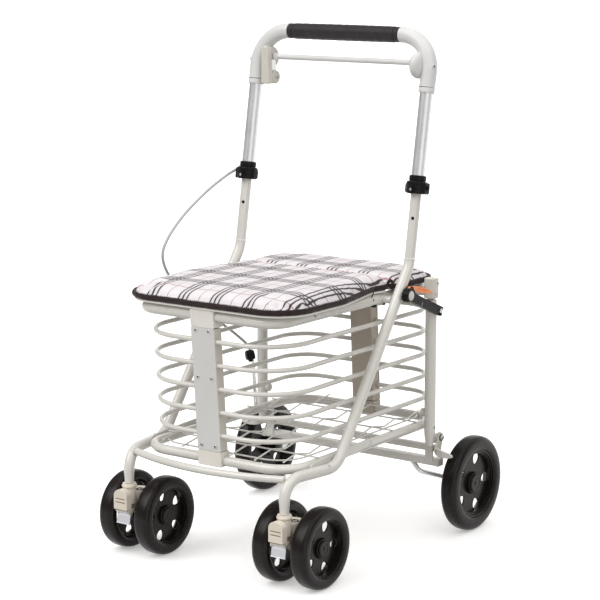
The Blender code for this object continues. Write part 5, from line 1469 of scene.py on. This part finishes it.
# boot, pull rods and clip of the brake cable on the left leg
boot_top = Vector((-0.2165, -0.0900, 0.3065))
boot_down = Vector((0.19, 0.02, -1.0)).normalized()
barrel = [(0.0, 0), (0.0, 0.0062), (0.0012, 0.0080), (0.0034, 0.0098), (0.0110, 0.0102), (0.0172, 0.0098), (0.0188, 0.0084), (0.0196, 0.0060), (0.0196, 0)]
parts = [
    (eased(lathe(barrel, 6, boot_top, boot_down), 0.0007, 2, 20), BLACK),
    (lathe(soft([(0.0182, 0), (0.0182, 0.0052), (0.0228, 0.0046), (0.0234, 0.0030), (0.0234, 0)], 0.0005), 28, boot_top, boot_down), BLACK),
    (block(-0.2116, -0.2078, -0.0868, -0.0806, 0.2890, 0.2970, 0.0008), BLACK),
    (tube([(-0.2118, -0.0860, 0.2870), (-0.2124, -0.0790, 0.1960)], 0.0020, 16), ROD_STEEL),
    (tube([(-0.2076, -0.0880, 0.2870), (-0.2108, -0.0735, 0.1960)], 0.0020, 16), ROD_STEEL),
    (block(-0.2140, -0.2100, -0.0815, -0.0705, 0.1940, 0.1985, 0.0008), ROD_STEEL),
]
piece("brake_boot_fine", parts, "rear_legs", "brake_boot")


# ================================================================ lock levers and tabs
def bulge(t):
    """A hump from 0 at t = 0 to 1 in the middle and 0 again at t = 1."""
    return max(0.0, math.sin(math.pi * t))


def reach(along, across):
    p = lever_o + lever_d * along + lever_n * across
    return (p.y, p.z)


for hand, s in SIDES:
    body = [(-0.001, -0.0088, 0.0), (0.030, -0.0092, 0.004), (LEVER_REACH, -0.0088, 0.0018), (LEVER_REACH + 0.0003, 0.0084, 0.0018), (0.040, 0.0078, 0.01), (-0.001, 0.0088, 0.0)]
    outline = [reach(a, b) for a, b in soft(body, 0, 6, closed=True)]
    arm = prism(outline, *sorted((s * 0.2085, s * 0.2182)), "X", 0)
    slit = [reach(0.0452, -0.014), reach(0.0476, -0.014), reach(0.0476, -0.0005), reach(0.0452, -0.0005)]
    hook = [reach(a, b) for a, b in soft([(STUD_REACH - 0.0044, -0.014, 0), (STUD_REACH + 0.0044, -0.014, 0), (STUD_REACH + 0.0044, 0.0038, 0.004), (STUD_REACH - 0.0044, 0.0038, 0.004)], 0, 5, closed=True)]
    well = soft([(-0.1835, 0.4815, 0), (-0.1600, 0.4815, 0), (-0.1600, 0.5000, 0), (-0.1835, 0.5000, 0)], 0, 1, closed=True)
    arm = combined(arm, [prism(slit, *sorted((s * 0.200, s * 0.230)), "X", 0), prism(hook, *sorted((s * 0.200, s * 0.230)), "X", 0), prism(well, *sorted((s * 0.2101, s * 0.2166)), "X", 0), tube([(s * 0.200, *LEVER_PIVOT), (s * 0.230, *LEVER_PIVOT)], 0.0060, 24, edge=0)])
    arm = eased(arm, 0.0009, 2, 40)
    # a C-shaped hub, open below and in front
    hub_ring = []
    for k in range(33):
        a = math.radians(-28 + 262 * k / 32)
        hub_ring.append((LEVER_PIVOT[0] + 0.0134 * math.cos(a), LEVER_PIVOT[1] + 0.0134 * math.sin(a)))
    for k in range(32, -1, -1):
        a = math.radians(-28 + 262 * k / 32)
        hub_ring.append((LEVER_PIVOT[0] + 0.0094 * math.cos(a), LEVER_PIVOT[1] + 0.0094 * math.sin(a)))
    hub = prism(hub_ring, *sorted((s * 0.2078, s * 0.2212)), "X", 0.0007)
    core = lathe(soft([(0.2072, 0.0054), (0.2072, 0.0112), (0.2172, 0.0112), (0.2172, 0.0054)], 0.0006, closed=True), 48, lever_o, (s, 0, 0), closed=True)
    ears = lathe(soft([(0.2073, 0), (0.2073, 0.0046), (0.2101, 0.0046), (0.2101, 0)], 0.0004), 24, (0, *TAB_PIVOT), (s, 0, 0))
    ears2 = lathe(soft([(0.2166, 0), (0.2166, 0.0046), (0.2190, 0.0046), (0.2190, 0)], 0.0004), 24, (0, *TAB_PIVOT), (s, 0, 0))
    rod = tube([(s * 0.2085, *TAB_PIVOT), (s * 0.2182, *TAB_PIVOT)], 0.0017, 16)
    ribs = [(prism([reach(a, 0.0030), reach(a + 0.0022, 0.0030), reach(a + 0.0022, 0.0086), reach(a, 0.0086)], *sorted((s * 0.2083, s * 0.2185)), "X", 0.0003), BLACK) for a in (0.088, 0.0935, 0.099)]
    ribs.append((prism([reach(a, b) for a, b in ((0.0449, -0.0088), (0.0479, -0.0088), (0.0479, -0.0004), (0.0449, -0.0004))], *sorted((s * 0.2100, s * 0.2176)), "X", 0), CAP_GREY))
    piece(f"lock_lever_{hand}_fine", [(arm, BLACK), (hub, BLACK), (core, BLACK), (ears, BLACK), (ears2, BLACK), (rod, ZINC), *ribs], f"lock_lever_{hand}", f"lock_lever_{hand}", angle=40)

    cap = [(0.2166, 0), (0.2166, 0.0088), (0.2196, 0.0092), (0.2208, 0.0088), (0.2218, 0.0074), (0.2225, 0.0050), (0.2228, 0.0022), (0.22285, 0)]
    parts = [(lathe(soft(cap, 0.0003), 48, lever_o, (s, 0, 0)), CAP_GREY), (tube([lever_o + Vector((s * 0.2051, 0, 0)), lever_o + Vector((s * 0.2176, 0, 0))], 0.0044, 24), ZINC)]
    piece(f"pivot_pin_{hand}_fine", parts, "frame", f"pivot_pin_{hand}")

    ty, tz = TAB_PIVOT
    blade = []
    for k in range(25):
        t = k / 24
        blade.append((ty + 0.0750 * t, tz - 0.0185 * t + 0.0068 * bulge(t) ** 0.85 + 0.0020 * (1 - t)))
    for k in range(24, -1, -1):
        t = k / 24
        blade.append((ty + 0.0750 * t, tz - 0.0185 * t - 0.0018 * bulge(t) ** 0.8 - 0.0020 * (1 - t) - 0.0005))
    tab = prism(blade, *sorted((s * 0.2104, s * 0.2163)), "X", 0)
    hollow = []
    for k in range(21):
        t = 0.24 + 0.46 * k / 20
        hollow.append((ty + 0.0750 * t, tz - 0.0185 * t + 0.0042 * bulge((t - 0.24) / 0.46) ** 0.8 + 0.0006))
    for k in range(20, -1, -1):
        t = 0.24 + 0.46 * k / 20
        hollow.append((ty + 0.0750 * t, tz - 0.0185 * t + 0.0005))
    tab = combined(tab, [prism(hollow, *sorted((s * 0.2150, s * 0.2230)), "X", 0)])
    tab = eased(tab, 0.0007, 2, 38)
    knuckle = lathe(soft([(0.2104, 0.0021), (0.2104, 0.0041), (0.2163, 0.0041), (0.2163, 0.0021)], 0.0004, closed=True), 28, (0, ty, tz), (s, 0, 0), closed=True)
    piece(f"lock_tab_{hand}_fine", [(tab, ORANGE), (knuckle, ORANGE)], f"lock_tab_{hand}", f"lock_tab_{hand}", angle=40)


# ================================================================ wheels
def windows(count, radius, half_len, half_wide, half_thick, centre, turn, steps=28):
    """Flared oval plugs that cut the windows between a wheel's spokes."""
    plugs = []
    for k in range(count):
        angle = 2 * math.pi * k / count + turn
        out, across = Vector((math.cos(angle), math.sin(angle))), Vector((-math.sin(angle), math.cos(angle)))
        rings = []
        for x, grow in ((-half_thick - 0.0020, 0.0030), (-half_thick + 0.0010, 0.0), (half_thick - 0.0010, 0.0), (half_thick + 0.0020, 0.0030)):
            ring = []
            for j in range(steps):
                a = 2 * math.pi * j / steps
                p = out * (radius + (half_len + grow) * math.cos(a)) + across * ((half_wide + grow) * math.sin(a) * (1.0 + 0.22 * math.cos(a)))
                ring.append((centre[0] + x, centre[1] + p.x, centre[2] + p.y))
            rings.append(ring)
        plugs.append(lofted(rings))
    return plugs


def wheel(name, body, centre, s, radius, width, rim, step, web, hub, hub_out, holes, turn):
    """A moulded wheel: full-section tyre, stepped rim, thin web with windows, and a hub cap. s points outwards."""
    w = width / 2
    wide = rim + 0.0060
    tyre = [(-w + 0.0086, rim - 0.0014), (-w + 0.0054, rim + 0.0002), (-w + 0.0016, rim + 0.0036)]
    steps = 26
    for k in range(steps + 1):
        a = math.pi * k / steps
        c, d = math.cos(a), math.sin(a)
        tyre.append((-w * math.copysign(abs(c) ** (2 / 3.2), c), wide + (radius - wide) * max(0.0, d) ** (2 / 3.2)))
    tyre += [(w - 0.0003, rim + 0.0024), (w - 0.0016, rim - 0.0002), (w - 0.0042, rim - 0.0014)]
    barrel = [(w - 0.0050, rim - 0.0024), (web, rim - 0.0012 - 0.5 * step), (-web, rim - 0.0012 - 0.5 * step), (-w + 0.0092, rim - 0.0024)]
    tyre_mesh = lathe([(s * x, r) for x, r in tyre] + [(s * x, r) for x, r in barrel], 112, centre, closed=True)
    parts = [tyre_mesh]
    # concentric steps down to the web on the outer face
    for face in (1,):
        for inner, outer, depth in ((0.45, 0.0, 0.0040), (0.78, 0.40, 0.0066), (1.0, 0.74, 0.0092)):
            ring = [(s * face * x, r) for x, r in soft([(web - 0.0004, rim - 0.0006 - step * inner), (w - depth, rim - 0.0006 - step * inner), (w - depth, rim - 0.0006 - step * outer), (web - 0.0004, rim - 0.0006 - step * outer)], 0.0005, 2, closed=True)]
            parts.append(lathe(ring, 112, centre, closed=True))
    disc = lathe([(s * x, r) for x, r in ((-web, hub - 0.004), (-web, rim + 0.001), (web, rim + 0.001), (web, hub - 0.004))], 112, centre, closed=True)
    disc = combined(disc, windows(5, *holes, web, centre, turn))
    parts.append(eased(disc, 0.0004, 1, 40))
    core = [(-w + 0.0004, 0.0056), (-w + 0.0004, hub - 0.0040), (-web - 0.0010, hub), (web + 0.0010, hub), (w + hub_out - 0.0040, hub - 0.0010), (w + hub_out - 0.0032, hub - 0.0018), (w + hub_out - 0.0032, 0.0056)]
    parts.append(lathe([(s * x, r) for x, r in soft(core, 0.0009, 3, closed=True)], 72, centre, closed=True))
    cap = [(w + hub_out - 0.0060, 0), (w + hub_out - 0.0060, hub - 0.0036), (w + hub_out - 0.0014, hub - 0.0036), (w + hub_out - 0.0002, hub - 0.0050), (w + hub_out, hub - 0.0085), (w + hub_out - 0.0007, hub - 0.0092), (w + hub_out - 0.0007, 0.0042), (w + hub_out + 0.0003, 0.0034), (w + hub_out + 0.0005, 0)]
    parts.append(lathe([(s * x, r) for x, r in soft(cap, 0.0004, 3)], 72, centre))
    inner_cap = [(-w - 0.0004, 0.0047), (-w - 0.0004, 0.0090), (-w + 0.0030, 0.0090), (-w + 0.0030, 0.0047)]
    parts.append(lathe([(s * x, r) for x, r in inner_cap], 40, centre, closed=True))
    piece(f"{name}_fine", [(m, WHEEL) for m in parts], body, name, angle=38)


for hand, s in SIDES:
    wheel(f"rear_wheel_{hand}", f"rear_wheel_{hand}", (s * REAR_WHEEL_X, 0, REAR_WHEEL_R), s, REAR_WHEEL_R - 0.0001, REAR_WHEEL_W + 0.0036, 0.0660, 0.0090, 0.0016, 0.0215, -0.0052, (0.0462, 0.0104, 0.0092), 0.01 if s > 0 else 0.5)
    for place, off in (("outer", s), ("inner", -s)):
        centre = (s * STEM_X + off * FRONT_WHEEL_OUT, STEM_Y + CASTER_TRAIL, FRONT_WHEEL_R)
        turn = {("left", "outer"): 0.79, ("left", "inner"): 0.55, ("right", "outer"): -0.03, ("right", "inner"): 0.55}[hand, place]
        wheel(f"front_wheel_{hand}_{place}", f"front_wheel_{hand}_{place}", centre, off, FRONT_WHEEL_R - 0.0001, FRONT_WHEEL_W + 0.0034, 0.0525, 0.0042, 0.0016, 0.0185, -0.0072, (0.0378, 0.0092, 0.0080), turn)


# ================================================================ casters
for hand, s in SIDES:
    x = s * STEM_X
    axle_y = STEM_Y + CASTER_TRAIL
    parts = []
    neck = [(0.1000, 0.0056), (0.1000, 0.0115), (0.1200, 0.0122), (0.1240, 0.0122), (0.1280, 0.0118), (0.1296, 0.0118), (0.1304, 0.0136), (0.1340, 0.0138), (0.1350, 0.0126), (0.1374, 0.0124), (0.1374, 0.0056)]
    parts.append((lathe(soft(neck, 0.0006, 3, closed=True), 56, (x, STEM_Y, 0), (0, 0, 1), closed=True), CASTER_BEIGE))
    # rear cup with a rim, a dark ring in its recess (painted shade) and its bolt
    cup = [(0.0930, 0), (0.0930, 0.0060), (0.0975, 0.0110), (0.1040, 0.0150), (0.1120, 0.0176), (0.1170, 0.0190), (0.1212, 0.0192), (0.1216, 0.0176), (0.1190, 0.0170), (0.1184, 0.0110), (0.1184, 0)]
    parts.append((lathe(soft(cup, 0.0008, 3), 56, (x, -0.4820, 0), (0, 0, 1)), CASTER_BEIGE))
    parts.append((lathe(soft([(0.1180, 0), (0.1180, 0.0080), (0.1196, 0.0080), (0.1196, 0.0062), (0.1186, 0.0062), (0.1186, 0)], 0.0003), 40, (x, -0.4780, 0), (0, 0, 1)), PAINTED_RECESS_SHADE))
    parts += screw((x, -0.4780, 0.1184), (0, 0, 1), 0.0050, turn=0.8)
    # front block with a rounded head
    arch = [(x - 0.0152, 0.0925), (x + 0.0152, 0.0925)]
    for k in range(17):
        a = math.pi * k / 16
        arch.append((x + 0.0152 * math.cos(a), 0.1165 + 0.0135 * bulge(k / 16) ** 0.9))
    head = prism(arch, -0.5345, -0.5200, "Y", 0)
    grooves = [block(x - 0.0110, x + 0.0110, -0.5400, -0.5328, z, z + 0.0018, 0) for z in (0.1050, 0.1115)]
    head = combined(head, grooves)
    head = eased(head, 0.0014, 3, 40)
    parts.append((head, CASTER_BEIGE))
    # dark tan strips in the head's grooves: painted shade
    for z in (0.1050, 0.1115):
        parts.append((block(x - 0.0108, x + 0.0108, -0.5338, -0.5322, z + 0.0001, z + 0.0017, 0), TAN_RECESS_SHADE))
    # arms down to the axle, notch and ledge above the lock
    trunk = soft([(-0.5230, 0.1180, 0.004), (-0.5230, 0.0890, 0.003), (-0.4900, 0.0790, 0.006), (-0.4745, 0.0600, 0.006), (-0.4587, 0.0560, 0.010), (-0.4430, 0.0720, 0.010), (-0.4560, 0.0900, 0.010), (-0.4790, 0.1160, 0.006)], 0, 6, closed=True)
    # the trunk takes the darker brown: painted shade
    parts.append((prism(trunk, x - 0.0072, x + 0.0072, "X", 0.0012, 3), CASTER_PAINTED_SHADE))
    # a dark block in the notch between head and ledge: painted shade
    parts.append((block(x - 0.0128, x + 0.0128, -0.5290, -0.5140, 0.0905, 0.0950, 0.0006), PAINTED_RECESS_SHADE))
    parts.append((block(x - 0.0140, x + 0.0140, -0.5310, -0.5120, 0.0872, 0.0908, 0.0008), BEIGE))
    for t in (-1, 1):
        parts.append((prism(soft([(-0.5262, 0.0935, 0.001), (-0.5262, 0.0815, 0.003), (-0.5168, 0.0785, 0.003), (-0.5110, 0.0935, 0.002)], 0, 4, closed=True), *sorted((x + t * 0.0116, x + t * 0.0134)), "X", 0.0004), CASTER_BEIGE))
    parts.append((lathe(soft([(-0.0212, 0.0044), (-0.0212, 0.0135), (-0.0190, 0.0150), (0.0190, 0.0150), (0.0212, 0.0135), (0.0212, 0.0044)], 0.0008, 3, closed=True), 56, (x, axle_y, FRONT_WHEEL_R), (1, 0, 0), closed=True), CASTER_BEIGE))
    parts.append((tube([(x - 0.0470, axle_y, FRONT_WHEEL_R), (x + 0.0470, axle_y, FRONT_WHEEL_R)], 0.0043, 28), ZINC))
    parts.append((tube([(x - 0.0140, *LOCK_PIVOT), (x + 0.0140, *LOCK_PIVOT)], 0.0015, 16), ZINC))
    piece(f"caster_housing_{hand}_fine", parts, f"caster_{hand}", f"caster_housing_{hand}", angle=40)

    py, pz = LOCK_PIVOT
    flap = soft([(py - 0.0052, 0.0660, 0.0006), (py - 0.0036, 0.0655, 0.0006), (py + 0.0010, 0.0800, 0.003), (py + 0.0030, 0.0840, 0.002), (py + 0.0020, 0.0864, 0.001), (py - 0.0022, 0.0864, 0.001), (py - 0.0030, 0.0835, 0.003), (py - 0.0030, 0.0800, 0.002)], 0, 4, closed=True)
    plate = prism(flap, x - 0.0152, x + 0.0152, "X", 0.0004)
    plate = combined(plate, [tube([(x - 0.02, py, pz), (x + 0.02, py, pz)], 0.0018, 16, edge=0)])
    lip = prism(soft([(py - 0.0066, 0.0648, 0.0006), (py - 0.0030, 0.0640, 0.0006), (py - 0.0024, 0.0655, 0.0004), (py - 0.0056, 0.0668, 0.0004)], 0, 3, closed=True), x - 0.0152, x + 0.0152, "X", 0.0002)
    piece(f"caster_lock_{hand}_fine", [(plate, LOCK_STEEL), (lip, LOCK_STEEL)], f"caster_lock_{hand}", f"caster_lock_{hand}", angle=40)


# ================================================================ studio floor
steps = 24
verts, faces = [], []
profile = [(-7.0, 0.0)] + [(-7.0 + 0.4 * k, 0.0) for k in range(1, 30)]
for k in range(steps + 1):
    a = math.pi / 2 * k / steps
    profile.append((5.0 + 2.0 * math.sin(a), 2.0 - 2.0 * math.cos(a)))
profile.append((7.0, 6.0))
for y, z in profile:
    verts += [(-9.0, y, z), (9.0, y, z)]
faces = [(2 * i, 2 * i + 1, 2 * i + 3, 2 * i + 2) for i in range(len(profile) - 1)]
mesh = bpy.data.meshes.new("studio_floor")
mesh.from_pydata(verts, [], faces)
mesh.shade_smooth()
mesh.materials.append(floor_paint())
floor = bpy.data.objects.new("studio_floor", mesh)
bpy.context.scene.collection.objects.link(floor)
floor.visible_diffuse = False
floor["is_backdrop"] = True

low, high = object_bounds()
